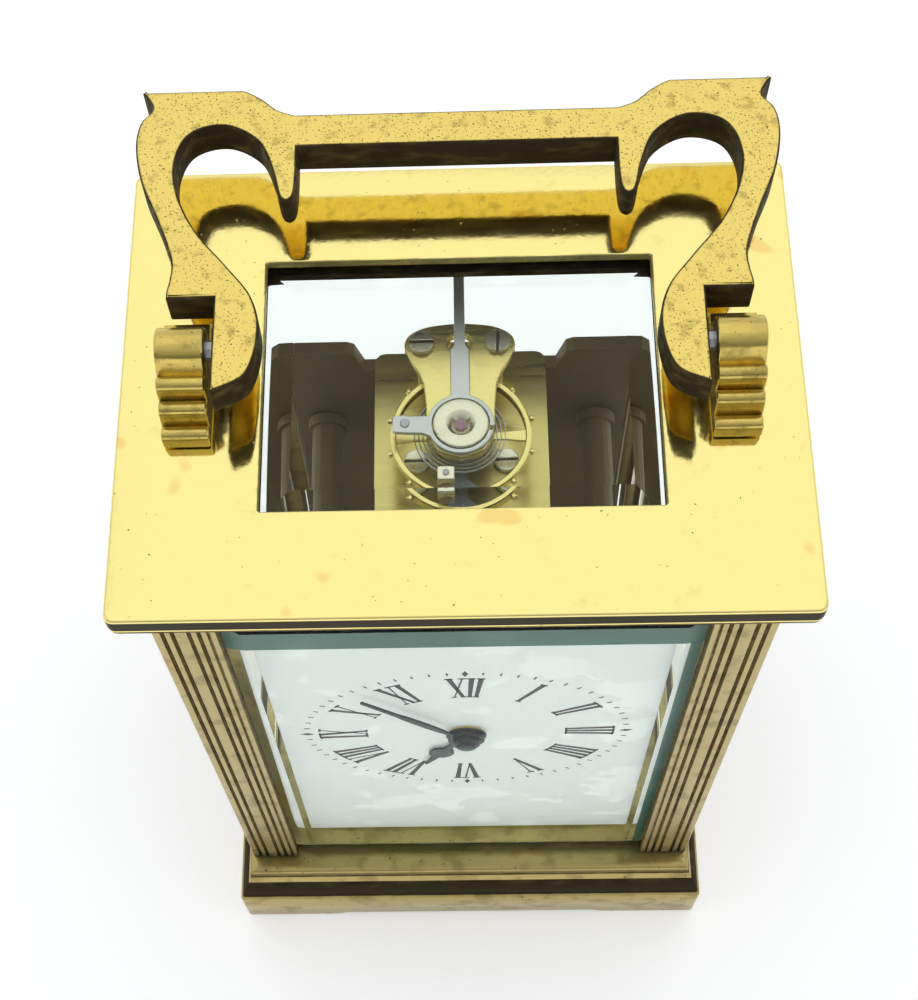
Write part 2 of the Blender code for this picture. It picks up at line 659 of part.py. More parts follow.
def add_lugs():
    """Two stepped lugs on the top plate, each with the pin that carries one end of the handle."""
    profile = list(reversed(lug_profile()))
    for side, sx in (("left", -1), ("right", 1)):
        near, far = sx * LUG_X, sx * (LUG_X + LUG_W)
        bm = prism(profile, min(near, far), max(near, far), [circle_at(0, PIVOT_H, PIN_R + GAP, 16)])
        add_piece(f"handle_lug_{side}", bm, "brass_aged", (0, 0, TOP_Z + GAP), "X", sharp=25.0)
        start = sx * (CUT_X - PIN_IN)
        end = sx * (LUG_X + LUG_W - GAP)
        pin = prism(circle(PIN_R, 16), min(start, end), max(start, end))
        add_piece(f"handle_pin_{side}", pin, "steel", (0, 0, PIVOT_Z), "X")


def circle_at(cx, cy, radius, steps):
    return moved(circle(radius, steps), cx, cy)


# ---------------------------------------------------------------- dial, hands and motion work
def add_dial():
    w = DIAL_W / 2
    outline = rectangle(-w, DIAL_BOTTOM, w, DIAL_TOP)
    hole = circle_at(0, DIAL_Z, HOUR_TUBE_R + GAP, 20)
    dial = add_piece("dial_plate", prism(outline, -DIAL_Y, -DIAL_Y + DIAL_T, [hole]), "dial_white", axis="Y")
    for side, sx in (("left", -1), ("right", 1)):
        for end, z in (("low", DIAL_Z - DIAL_FOOT_Z), ("high", DIAL_Z + DIAL_FOOT_Z)):
            foot = prism(circle(DIAL_FOOT_R, 10), -FRONT_PLATE_Y + GAP, -DIAL_Y + DIAL_T / 2)
            join_to(dial, f"dial_foot_{end}_{side}", foot, "Y", (sx * DIAL_FOOT_X, 0, z))


def hand_outline(length, boss, waist, swell, swell_at, swell_r, tip):
    """Hand along +Y: round boss, slim shaft, one swelling and a rounded tip."""
    right = arc(0, 0, boss, -90, 70, 8)
    right += [(waist, boss * 1.15), (waist, swell_at - swell_r)]
    right += [(swell * math.sin(a), swell_at - swell_r * math.cos(a)) for a in
              (math.pi / 4, math.pi / 2, 3 * math.pi / 4)]
    right += [(waist, swell_at + swell_r), (tip, length - tip), (tip * 0.6, length - tip * 0.3)]
    left = [(-x, y) for x, y in reversed(right[1:])]
    return right + [(0, length)] + left


def add_hands():
    """Hour hand on the hour wheel's pipe, minute hand on the cannon pinion, and the domed nut."""
    face = DIAL_Y - DIAL_T
    hour_y = face - HAND_SPACE
    minute_y = hour_y - HAND_T - HAND_SPACE
    centre = (0, 0, DIAL_Z)
    minute_axis = add_axis("minute_axis", centre)
    hour_axis = add_axis("hour_axis", centre)
    mm = MM
    hour = hand_outline(HOUR_L, 3.0 * mm, 0.45 * mm, 1.9 * mm, 8.6 * mm, 1.9 * mm, 0.25 * mm)
    minute = hand_outline(MINUTE_L, 2.7 * mm, 0.4 * mm, 0.75 * mm, 9.5 * mm, 4.5 * mm, 0.25 * mm)
    hour = turned(hour, -math.tau * SHOWN_HOURS / 12)
    minute = turned(minute, -math.tau * SHOWN_MINUTES / 60)
    add_piece("hour_hand", prism(hour, -hour_y, -hour_y + HAND_T, [circle(HOUR_TUBE_R + HAND_FIT, 20)]),
              "blued_steel", centre, "Y", hour_axis)
    add_piece("minute_hand", prism(minute, -minute_y, -minute_y + HAND_T, [circle(CANNON_R + HAND_FIT, 16)]),
              "blued_steel", centre, "Y", minute_axis)
    pipe_end = -hour_y + HAND_T
    bore_end = -minute_y + HAND_T
    nut = [(0, 0), (2.0 * mm, 0), (2.0 * mm, 0.3 * mm), (1.5 * mm, 0.7 * mm), (0.8 * mm, 0.9 * mm), (0, mm)]
    add_piece("hand_collet", turned_solid([(r, z + bore_end + GAP) for r, z in nut], 16), "blued_steel",
              centre, "Y", minute_axis)
    add_motion_work(pipe_end, bore_end, minute_axis, hour_axis)


def add_motion_work(pipe_end, bore_end, minute_axis, hour_axis):
    """Cannon pinion, minute wheel with its pinion, and hour wheel with its pipe."""
    centre = (0, 0, DIAL_Z)
    plate = -FRONT_PLATE_Y
    first = plate + 0.6 * MM
    second = first + 2.2 * MM
    bore = circle(CANNON_BORE, 16)
    distance = MOTION_MODULE * (CANNON_TEETH + MINUTE_TEETH) / 2
    hour_module = 2 * distance / (MINUTE_PINION + HOUR_TEETH)
    cannon = tube_stack([(pinion_outline(CANNON_TEETH, MOTION_MODULE, math.pi / CANNON_TEETH), first, first + 1.6 * MM),
                         (circle(CANNON_R, 16), first + 1.6 * MM, bore_end)], bore)
    add_piece("cannon_pinion", cannon, "steel", centre, "Y", minute_axis)
    pipe = tube_stack([(wheel_outline(HOUR_TEETH, hour_module, math.pi), second, second + 0.9 * MM),
                       (circle(HOUR_TUBE_R, 20), second + 0.9 * MM, pipe_end)], circle(HOUR_TUBE_BORE, 20))
    add_piece("hour_wheel", pipe, "brass_movement", centre, "Y", hour_axis)
    stud = (distance, 0, DIAL_Z)
    minute = tube_stack([(wheel_outline(MINUTE_TEETH, MOTION_MODULE, 0), first + 0.3 * MM, first + 1.2 * MM),
                         (pinion_outline(MINUTE_PINION, hour_module, math.pi / MINUTE_PINION),
                          first + 1.2 * MM, second + 1.3 * MM)], circle(0.7 * MM, 10))
    add_piece("minute_wheel", minute, "brass_movement", stud, "Y")
    peg = stack([(circle(0.4 * MM, 10), plate + GAP, second + 1.3 * MM + GAP),
                 (circle(1.0 * MM, 10), second + 1.3 * MM + GAP, second + 2.0 * MM)])
    add_piece("minute_wheel_stud", peg, "steel", stud, "Y")


def tube_stack(sections, bore):
    """Coaxial sections as in stack, with one bore right through them."""
    bm = stack(sections)
    ends = []
    for level in (sections[0][1], sections[-1][2]):
        cap = [f for f in bm.faces if all(abs(v.co.z - level) < 1e-7 for v in f.verts)]
        rim = [v for v in dict.fromkeys(v for f in cap for v in f.verts)]
        bmesh.ops.delete(bm, geom=cap, context="FACES_ONLY")
        outline = sections[0][0] if level == sections[0][1] else sections[-1][0]
        ordered = [min(rim, key=lambda v: (v.co.xy - Vector(p)).length) for p in outline]
        ring = [bm.verts.new((x, y, level)) for x, y in bore]
        fill(bm, [ordered, ring])
        ends.append(ring)
    for i in range(len(bore)):
        j = (i + 1) % len(bore)
        bm.faces.new((ends[0][i], ends[0][j], ends[1][j], ends[1][i]))
    return bm


# ---------------------------------------------------------------- movement
def meet(a, b, from_a, from_b, side):
    """Point at two given distances from a and b; side picks the left or the right one."""
    ax, az = a
    bx, bz = b
    d = math.hypot(bx - ax, bz - az)
    along = (from_a ** 2 - from_b ** 2 + d ** 2) / (2 * d)
    off = math.sqrt(max(from_a ** 2 - along ** 2, 0)) * side
    ux, uz = (bx - ax) / d, (bz - az) / d
    return (ax + along * ux - off * uz, az + along * uz + off * ux)


def train_places():
    """Centres of the train in (x, z), worked out from the meshing distances."""
    barrel = (0.0, BARREL_Z)
    centre = (0.0, DIAL_Z)
    contrate = (0.0, SEAT_Z - CONTRATE_DROP - CONTRATE_R)
    inter = meet(barrel, centre, BARREL_MODULE * (BARREL_TEETH + BARREL_PINION) / 2,
                 INTER_MODULE * (INTER_TEETH + CENTRE_PINION) / 2, -1)
    third = meet(centre, contrate, CENTRE_MODULE * (CENTRE_TEETH + THIRD_PINION) / 2,
                 THIRD_MODULE * (THIRD_TEETH + CONTRATE_PINION) / 2, 1)
    return {"barrel": barrel, "inter": inter, "centre": centre, "third": third, "contrate": contrate}


def aim(a, b):
    """Direction from one centre to another, as an angle in the (x, z) plane."""
    return math.atan2(b[1] - a[1], b[0] - a[0])


def mesh_phase(teeth, direction):
    """Phase that puts a gap of the gear on the line towards its partner's tooth."""
    return direction + math.pi / teeth


def add_movement_plates():
    """Front and back plates with shoulders either side of the platform, and their pivot holes."""
    places = train_places()
    w, n = MOVE_W / 2, NOTCH_W / 2
    top = SEAT_Z + SHOULDER_H
    slope = 1.2 * MM
    outline = [(-w, MOVE_Z0), (w, MOVE_Z0), (w, top - MM), (w - MM, top), (n + slope + MM, top),
               (n + slope, top - 0.5 * MM), (n, SEAT_Z), (-n, SEAT_Z), (-n - slope, top - 0.5 * MM),
               (-n - slope - MM, top), (-w + MM, top), (-w, top - MM)]
    holes = [circle_at(x, z, ARBOR_R + PIVOT_PLAY, 10) for key, (x, z) in places.items() if key != "barrel"]
    holes.append(circle_at(*places["barrel"], 1.9 * MM + PIVOT_PLAY, 16))
    for name, front_y in (("movement_front_plate", FRONT_PLATE_Y), ("movement_back_plate", BACK_PLATE_Y)):
        bm = prism(outline, -front_y - MOVE_T, -front_y, holes)
        add_piece(name, bm, "brass_movement", axis="Y")
    for side, sx in (("left", -1), ("right", 1)):
        for end, z in (("low", MOVE_Z0 + PILLAR_LOW), ("high", SEAT_Z - PILLAR_HIGH)):
            front, back = -MOVE_IN_Y - GAP, -BACK_PLATE_Y + GAP
            pillar = stack([(circle(PILLAR_R + 0.6 * MM, 16), back, back + 1.5 * MM),
                            (circle(PILLAR_R, 16), back + 1.5 * MM, front - 1.5 * MM),
                            (circle(PILLAR_R + 0.6 * MM, 16), front - 1.5 * MM, front)])
            add_piece(f"pillar_{end}_{side}", pillar, "brass_movement", (sx * PILLAR_X, 0, z), "Y")


def arbor(wheels, front, back):
    """Arbor from front to back (heights are -Y), with outlines on it as (outline, from, to)."""
    shaft = circle(ARBOR_R, 12)
    sections = []
    level = back
    for outline, low, high in sorted(wheels, key=lambda w: w[1]):
        sections.append((shaft, level, low))
        sections.append((outline, low, high))
        level = high
    sections.append((shaft, level, front))
    return stack(sections)


def add_train():
    """Going train between the plates, from the barrel up to the contrate wheel."""
    places = train_places()
    ends = (-FRONT_PLATE_Y - GAP, -BACK_OUT_Y + GAP)
    great_y, inter_y, centre_y, third_y = 4.8 * MM, 9.2 * MM, 11.9 * MM, -3.4 * MM
    b, i, c, t, r = (places[k] for k in ("barrel", "inter", "centre", "third", "contrate"))

    def layer(y, thick):
        return y - thick / 2, y + thick / 2

    add_barrel(b, great_y, aim(b, i))
    inter = arbor([(pinion_outline(BARREL_PINION, BARREL_MODULE, mesh_phase(BARREL_PINION, aim(i, b))),
                    *layer(great_y, PINION_T)),
                   (wheel_outline(INTER_TEETH, INTER_MODULE, aim(i, c)), *layer(inter_y, WHEEL_T))], *ends)
    add_piece("intermediate_wheel", inter, "brass_movement", (i[0], 0, i[1]), "Y")
    centre = arbor([(pinion_outline(CENTRE_PINION, INTER_MODULE, mesh_phase(CENTRE_PINION, aim(c, i))),
                     *layer(inter_y, PINION_T * 0.8)),
                    (wheel_outline(CENTRE_TEETH, CENTRE_MODULE, aim(c, t)), *layer(centre_y, WHEEL_T))],
                   -FRONT_PLATE_Y + 5.0 * MM, -BACK_OUT_Y - 3.0 * MM)
    add_piece("centre_wheel", centre, "brass_movement", (c[0], 0, c[1]), "Y")
    third = arbor([(pinion_outline(THIRD_PINION, CENTRE_MODULE, mesh_phase(THIRD_PINION, aim(t, c))),
                    *layer(centre_y, PINION_T)),
                   (wheel_outline(THIRD_TEETH, THIRD_MODULE, aim(t, r)), *layer(third_y, WHEEL_T))], *ends)
    add_piece("third_wheel", third, "brass_movement", (t[0], 0, t[1]), "Y")
    add_contrate(r, aim(r, t), third_y, ends)


def add_barrel(place, great_y, direction):
    """Open drum with the great wheel on its front rim, its cover, spring, arbor, ratchet and click."""
    x, z = place
    here = (x, 0, z)
    axis = add_axis("barrel_axis", here)
    drum_r = BARREL_MODULE * (BARREL_TEETH / 2 - 2.2)
    front = great_y + WHEEL_T / 2
    back = front - WHEEL_T - BARREL_H
    hub = circle(1.9 * MM + PIVOT_PLAY, 16)
    drum = tube_stack([(circle(drum_r, 40), back, front - WHEEL_T),
                       (wheel_outline(BARREL_TEETH, BARREL_MODULE, direction), front - WHEEL_T, front)], hub)
    barrel = add_piece("barrel", drum, "brass_movement", here, "Y", axis)
    inner_r = drum_r - BARREL_WALL
    cut(barrel, "barrel_hollow", prism(circle(inner_r, 40), back - MM, front - WHEEL_T), "Y", here)
    cover = prism(circle(inner_r - GAP, 40), back, back + WHEEL_T, [hub])
    add_piece("barrel_cover", cover, "brass_movement", here, "Y", axis)
    spring = spiral(2.6 * MM, inner_r - 0.8 * MM, 3.0, 0.5 * MM, back + WHEEL_T + GAP, front - WHEEL_T - GAP, 16)
    add_piece("mainspring", spring, "steel", here, "Y", axis)
    square = scaled([(1, 1), (-1, 1), (-1, -1), (1, -1)], 1.15 * MM)
    rod = stack([(square, -BACK_OUT_Y - 5.5 * MM, -BACK_OUT_Y - 2.2 * MM),
                 (circle(1.9 * MM, 16), -BACK_OUT_Y - 2.2 * MM, -FRONT_PLATE_Y - GAP)])
    winding = add_axis("winding_axis", here)
    add_piece("barrel_arbor", rod, "steel", here, "Y", winding)
    plate = -BACK_OUT_Y - GAP
    ratchet = prism(ratchet_outline(), plate - 1.3 * MM, plate, [circle(1.92 * MM, 16)])
    add_piece("ratchet_wheel", ratchet, "steel", here, "Y", winding)
    add_click(place, plate)


def ratchet_outline():
    """Saw teeth: each rises slowly and drops on a radius."""
    points = []
    for i in range(RATCHET_TEETH):
        angle = math.tau * i / RATCHET_TEETH
        low = angle + 0.04
        points.append((RATCHET_R * 0.86 * math.cos(low), RATCHET_R * 0.86 * math.sin(low)))
        high = angle + math.tau / RATCHET_TEETH
        points.append((RATCHET_R * math.cos(high), RATCHET_R * math.sin(high)))
    return points


def add_click(place, plate):
    """Click above the ratchet wheel, with its nose just clear of the teeth, and its screw."""
    x, z = place
    here = (x + 9.0 * MM, 0, z + 4.0 * MM)
    body = [(1.8, -1.2), (2.2, 1.0), (0.4, 2.2), (-2.2, 1.6), (-3.6, -1.0), (-2.6, -1.6), (-1.0, -1.9)]
    outline = smooth(scaled(body, MM), 2)
    click = prism(outline, plate - 1.3 * MM, plate, [circle(0.9 * MM, 12)])
    add_piece("click", click, "steel", here, "Y")
    screw = stack([(circle(1.5 * MM, 14), plate - 2.4 * MM, plate - 1.3 * MM - GAP),
                   (circle(0.6 * MM, 14), plate - 1.3 * MM - GAP, plate)])
    add_piece("click_screw", screw, "steel", here, "Y")


def spiral(inner, outer, turns, thick, low, high, steps=20):
    """Flat spiral band between two radii, as a strip of the given thickness."""
    count = int(turns * steps)
    sides = []
    for offset in (-thick / 2, thick / 2):
        side = []
        for i in range(count + 1):
            share = i / count
            radius = inner + (outer - inner) * share + offset
            angle = math.tau * turns * share
            side.append((radius * math.cos(angle), radius * math.sin(angle)))
        sides.append(side)
    bm = bmesh.new()
    rings = []
    for i in range(count + 1):
        a, b = sides[0][i], sides[1][i]
        rings.append([bm.verts.new((*a, low)), bm.verts.new((*b, low)),
                      bm.verts.new((*b, high)), bm.verts.new((*a, high))])
    for ring, following in zip(rings, rings[1:]):
        for k in range(4):
            m = (k + 1) % 4
            bm.faces.new((ring[k], ring[m], following[m], following[k]))
    bm.faces.new(rings[0])
    bm.faces.new(reversed(rings[-1]))
    return bm


def add_contrate(place, direction, third_y, ends):
    """Contrate wheel: a disc whose rim carries teeth that point forwards to the escape pinion."""
    x, z = place
    pinion_r = CONTRATE_R * ESCAPE_PINION / CONTRATE_TEETH
    tip_y = -ESCAPE_Y - pinion_r + 0.30 * MM
    root_y = tip_y - 1.1 * MM
    disc_y = root_y - 0.8 * MM
    shaft = arbor([(pinion_outline(CONTRATE_PINION, THIRD_MODULE, mesh_phase(CONTRATE_PINION, direction)),
                    third_y - PINION_T / 2, third_y + PINION_T / 2),
                   (circle(CONTRATE_R + 0.5 * MM, 40), disc_y, root_y - 0.2 * MM)], *ends)
    wheel = add_piece("contrate_wheel", shaft, "brass_movement", (x, 0, z), "Y")
    inner, outer = CONTRATE_R - 0.45 * MM, CONTRATE_R + 0.35 * MM
    bm = bmesh.new()
    rings = []
    pitch = math.tau / CONTRATE_TEETH
    for i in range(CONTRATE_TEETH):
        for share, level in ((-0.25, root_y), (0.0, tip_y), (0.25, root_y)):
            a = math.pi / 2 + (i + 0.5 + share) * pitch
            c, s = math.cos(a), math.sin(a)
            rings.append([bm.verts.new((inner * c, inner * s, disc_y + 0.3 * MM)),
                          bm.verts.new((outer * c, outer * s, disc_y + 0.3 * MM)),
                          bm.verts.new((outer * c, outer * s, level)),
                          bm.verts.new((inner * c, inner * s, level))])
    for ring, following in zip(rings, rings[1:] + rings[:1]):
        for k in range(4):
            m = (k + 1) % 4
            bm.faces.new((ring[k], ring[m], following[m], following[k]))
    join_to(wheel, "contrate_rim", bm, "Y", (x, 0, z))


# ---------------------------------------------------------------- platform escapement
def add_platform():
    """Platform with its escape wheel, lever, balance, spring, cock, index and screws."""
    half = PLATFORM_W / 2
    outline = rounded_rectangle(-half, PLATFORM_Y0, half, PLATFORM_Y1, 1.4 * MM)
    pinion_clear = CONTRATE_R * ESCAPE_PINION / CONTRATE_TEETH + 0.9 * MM
    holes = [circle_at(0, ESCAPE_Y, pinion_clear, 16), circle_at(0, LEVER_Y, STAFF_R + GAP, 10),
             circle_at(0, 0, STAFF_R + GAP, 10)]
    screws = [(sx * PLATFORM_SCREW_X, PLATFORM_SCREW_Y) for sx in (-1, 1)]
    holes += [circle_at(x, y, 0.8 * MM, 10) for x, y in screws]
    add_piece("platform_plate", prism(outline, PLATFORM_TOP - PLATFORM_T, PLATFORM_TOP, holes), "brass_movement")
    for side, (x, y) in zip(("left", "right"), screws):
        head = stack([(circle(0.5 * MM, 12), PLATFORM_TOP - PLATFORM_T, PLATFORM_TOP + GAP),
                      (circle(SCREW_R, 16), PLATFORM_TOP + GAP, PLATFORM_TOP + 0.8 * MM)])
        add_piece(f"platform_screw_{side}", head, "steel", (x, y, 0))
    add_escapement()
    add_balance()
    add_cock()
    add_index()


def add_escapement():
    """Escape wheel with club teeth over its pinion, and the straight lever beside it."""
    module = 2 * CONTRATE_R / CONTRATE_TEETH
    low = SEAT_Z - CONTRATE_DROP - 0.7 * MM
    teeth = []
    pitch = math.tau / ESCAPE_TEETH
    for i in range(ESCAPE_TEETH):
        for share, radius in ((-0.18, 0.72), (0.06, 1.0), (0.22, 1.0), (0.10, 0.72)):
            angle = (i + share) * pitch
            teeth.append((ESCAPE_R * radius * math.cos(angle), ESCAPE_R * radius * math.sin(angle)))
    staff = circle(0.45 * MM, 12)
    wheel_z = PLATFORM_TOP + 1.0 * MM
    wheel = stack([(staff, low - 0.5 * MM, low),
                   (pinion_outline(ESCAPE_PINION, module, math.pi / 2), low, low + 3.4 * MM),
                   (staff, low + 3.4 * MM, wheel_z), (teeth, wheel_z, wheel_z + 0.5 * MM),
                   (staff, wheel_z + 0.5 * MM, wheel_z + 1.0 * MM)])
    add_piece("escape_wheel", wheel, "steel", (0, ESCAPE_Y, 0))
    right = [(0.0, -1.2), (1.5, -1.6), (3.0, -3.2), (3.7, -3.0), (3.9, -2.2), (2.2, -0.4), (0.75, 0.9),
             (0.5, 3.0), (0.9, 3.5), (0.9, 4.0), (0.35, 4.0), (0.3, 3.5)]
    left = [(-x, y) for x, y in reversed(right[1:])]
    lever = prism(scaled(right + left, MM), wheel_z, wheel_z + 0.6 * MM)
    piece = add_piece("pallet_lever", lever, "steel", (0, LEVER_Y, 0))
    join_to(piece, "lever_staff", prism(circle(0.35 * MM, 10), PLATFORM_TOP - 0.8 * MM, wheel_z + 1.0 * MM),
            origin=(0, LEVER_Y, 0))


def add_balance():
    """Balance wheel with a rim and one arm across it, its staff and roller, and the flat spring."""
    rim = tube_ring(BALANCE_R, BALANCE_R - 0.75 * MM, BALANCE_Z, BALANCE_Z + BALANCE_T, 40)
    balance = add_piece("balance_wheel", rim, "brass_movement")
    reach = BALANCE_R - 0.4 * MM
    arm = prism(rectangle(-reach, -0.7 * MM, reach, 0.7 * MM), BALANCE_Z + 0.2 * MM, BALANCE_Z + 0.7 * MM)
    join_to(balance, "balance_arm", arm)
    staff = stack([(circle(0.3 * MM, 12), PLATFORM_TOP - 0.9 * MM, PLATFORM_TOP + 0.3 * MM),
                   (circle(STAFF_R, 12), PLATFORM_TOP + 0.3 * MM, PLATFORM_TOP + 1.9 * MM),
                   (circle(1.0 * MM, 16), PLATFORM_TOP + 1.9 * MM, PLATFORM_TOP + 2.4 * MM),
                   (circle(STAFF_R, 12), PLATFORM_TOP + 2.4 * MM, COCK_TOP - COCK_T - 0.1 * MM),
                   (circle(0.3 * MM, 12), COCK_TOP - COCK_T - 0.1 * MM, COCK_TOP - 0.4 * MM)])
    join_to(balance, "balance_staff", staff)
    low = BALANCE_Z + BALANCE_T + 0.15 * MM
    band = spiral(1.2 * MM, 5.6 * MM, 6.0, 0.14 * MM, low - 0.5 * MM, low, 16)
    add_piece("hairspring", band, "steel")


def tube_ring(outer, inner, low, high, steps):
    return prism(circle(outer, steps), low, high, [circle(inner, steps)])


def add_cock():
    """Balance cock: a foot on the platform's back edge and a tapering arm over the balance."""
    w = COCK_W / 2
    back = PLATFORM_Y1
    mm = MM
    right = smooth([(0, back), (4.2 * mm, back - 0.5 * mm), (w - 0.7 * mm, back - 1.7 * mm),
                    (w, back - 3.4 * mm), (w - 0.7 * mm, back - 5.4 * mm), (w - 1.8 * mm, back - 7.2 * mm)], 3)
    right += smooth([(4.8 * mm, 6.6 * mm), (4.5 * mm, 3.4 * mm), (4.3 * mm, 0.0), (3.0 * mm, -3.2 * mm),
                     (0, -4.4 * mm)], 3)
    left = [(-x, y) for x, y in reversed(right[1:-1])]
    outline = list(reversed(right + left))
    arm_low = COCK_TOP - COCK_T
    screw_y = back - COCK_SCREW_IN
    holes = [circle_at(0, 0, STAFF_R + GAP, 10), circle_at(0, screw_y, COCK_HOLE_R, 14)]
    holes += [circle_at(sx * COCK_SCREW_X, screw_y, 0.8 * mm, 10) for sx in (-1, 1)]
    cock = add_piece("balance_cock", prism(outline, arm_low, COCK_TOP, holes), "brass_movement")
    foot = prism(rectangle(-w + 1.6 * mm, back - COCK_FOOT_IN, w - 1.6 * mm, back - 2.2 * mm),
                 PLATFORM_TOP + GAP, arm_low + 0.5 * COCK_T)
    join_to(cock, "cock_foot", foot)
    for side, sx in (("left", -1), ("right", 1)):
        screw = stack([(circle(0.5 * mm, 12), arm_low + 0.7 * COCK_T, COCK_TOP + GAP),
                       (circle(SCREW_R, 16), COCK_TOP + GAP, COCK_TOP + 0.9 * mm)])
        add_piece(f"cock_screw_{side}", screw, "steel", (sx * COCK_SCREW_X, screw_y, 0))


def add_index():
    """Regulator index: a ring round the end cap, a long pointer to the back and a curb arm."""
    mm = MM
    low = COCK_TOP + GAP
    neck = 1.25 * mm
    ring = arc(0, 0, INDEX_R, 110, 425, 24)[:-1]
    pointer = [(neck, INDEX_R + 0.3 * mm), (neck, 11.0 * mm), (0.72 * mm, 11.8 * mm), (0.72 * mm, INDEX_REACH),
               (-0.72 * mm, INDEX_REACH), (-0.72 * mm, 11.8 * mm), (-neck, 11.0 * mm), (-neck, INDEX_R + 0.3 * mm)]
    outline = ring + pointer
    inner = circle(CAP_R + 0.12 * mm, 28)
    index = add_piece("regulator_index", prism(outline, low, low + INDEX_T, [inner]), "nickel")
    arm = [(-8.8, -0.9), (-8.8, 0.9), (-7.2, 1.3), (-3.95, 0.8), (-3.95, -0.9), (-6.6, -1.2)]
    join_to(index, "index_arm", prism(scaled(list(reversed(arm)), mm), low + 0.1 * mm, low + INDEX_T - 0.1 * mm))
    cap = [(0, low + 0.1 * mm), (CAP_R, low + 0.1 * mm), (CAP_R, low + 0.8 * mm), (CAP_R - 0.3 * mm, low + mm),
           (1.8 * mm, low + mm), (0.7 * mm, low + 0.35 * mm), (0, low + 0.35 * mm)]
    add_piece("end_cap", turned_solid(cap, 28), "nickel")


def main():
    clear_scene()
    add_plinth()
    add_floor()
    add_posts()
    add_top()
    add_panes()
    add_door()
    add_handle()
    add_lugs()
    add_dial()
    add_hands()
    add_movement_plates()
    add_train()
    add_platform()


main()
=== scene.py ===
"""Brass carriage clock: the visible surfaces, finishes, light and camera round its solid frame.

Everything is in metres, +Z up, the dial faces -Y. Sizes come from the frame's own boxes and from the
panel's values. Each shape is a set of whole numpy arrays: rings of points that are joined by faces.
"""

import math

import bmesh
import bpy
import numpy as np
from bpy.props import FloatProperty, FloatVectorProperty, IntProperty, PointerProperty
from mathutils import Matrix, Vector
from mathutils.geometry import tessellate_polygon


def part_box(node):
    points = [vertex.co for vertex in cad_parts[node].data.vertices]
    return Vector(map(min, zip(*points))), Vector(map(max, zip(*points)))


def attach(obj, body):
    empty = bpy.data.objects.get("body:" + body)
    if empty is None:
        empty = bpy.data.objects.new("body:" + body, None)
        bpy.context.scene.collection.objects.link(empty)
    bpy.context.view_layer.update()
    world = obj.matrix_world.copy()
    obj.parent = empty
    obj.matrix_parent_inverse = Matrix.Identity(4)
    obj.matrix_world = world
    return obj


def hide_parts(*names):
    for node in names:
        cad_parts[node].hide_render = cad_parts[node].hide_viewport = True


bl_info = {
    "name": "Carriage clock",
    "version": (1, 0, 0),
    "blender": (4, 5, 0),
    "location": "3D View > Sidebar > Clock",
    "description": "Builds the surfaces, finishes and studio of a brass carriage clock",
    "category": "Add Mesh",
}

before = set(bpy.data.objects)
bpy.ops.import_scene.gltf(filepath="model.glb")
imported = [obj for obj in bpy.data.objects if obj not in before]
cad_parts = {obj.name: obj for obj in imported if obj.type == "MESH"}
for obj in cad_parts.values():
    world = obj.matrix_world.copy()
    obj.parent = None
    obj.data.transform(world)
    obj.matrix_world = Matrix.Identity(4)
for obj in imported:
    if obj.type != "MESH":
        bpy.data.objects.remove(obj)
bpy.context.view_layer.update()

MM = 0.001
PLATE_LOW, PLATE_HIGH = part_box("top_plate")
PLINTH_LOW, PLINTH_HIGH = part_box("base_plinth")
POST_LOW, POST_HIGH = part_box("post_rear_right")
HANDLE_LOW, HANDLE_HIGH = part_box("handle")
LUG_LOW, LUG_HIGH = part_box("handle_lug_right")
DIAL_LOW, DIAL_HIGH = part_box("dial_plate")
INDEX_LOW, INDEX_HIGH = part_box("regulator_index")
CAP_LOW, CAP_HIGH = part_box("end_cap")
COLLET_LOW, COLLET_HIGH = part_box("hand_collet")
KNOB_LOW, KNOB_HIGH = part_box("door_knob")
PLATFORM_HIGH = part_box("platform_plate")[1]
COCK_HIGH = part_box("balance_cock")[1]
BALANCE_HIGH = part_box("balance_wheel")[1]
BACK_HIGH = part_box("movement_back_plate")[1]
HAND_AXIS_Z = (COLLET_LOW.z + COLLET_HIGH.z) / 2


# ---------------------------------------------------------------- values on the panel
def size(label, about, millimetres):
    """A length on the panel, given in millimetres and kept in metres."""
    return FloatProperty(name=label, description=about, default=millimetres * MM,
                         unit="LENGTH", subtype="DISTANCE", precision=5)


def share(label, about, value, highest=1.0):
    """A plain number on the panel, from 0 to its highest value."""
    return FloatProperty(name=label, description=about, default=value, min=0.0, max=highest)


def colour(label, about, value):
    """A colour on the panel."""
    return FloatVectorProperty(name=label, description=about, default=value, subtype="COLOR",
                               size=3, min=0.0, max=1.0)


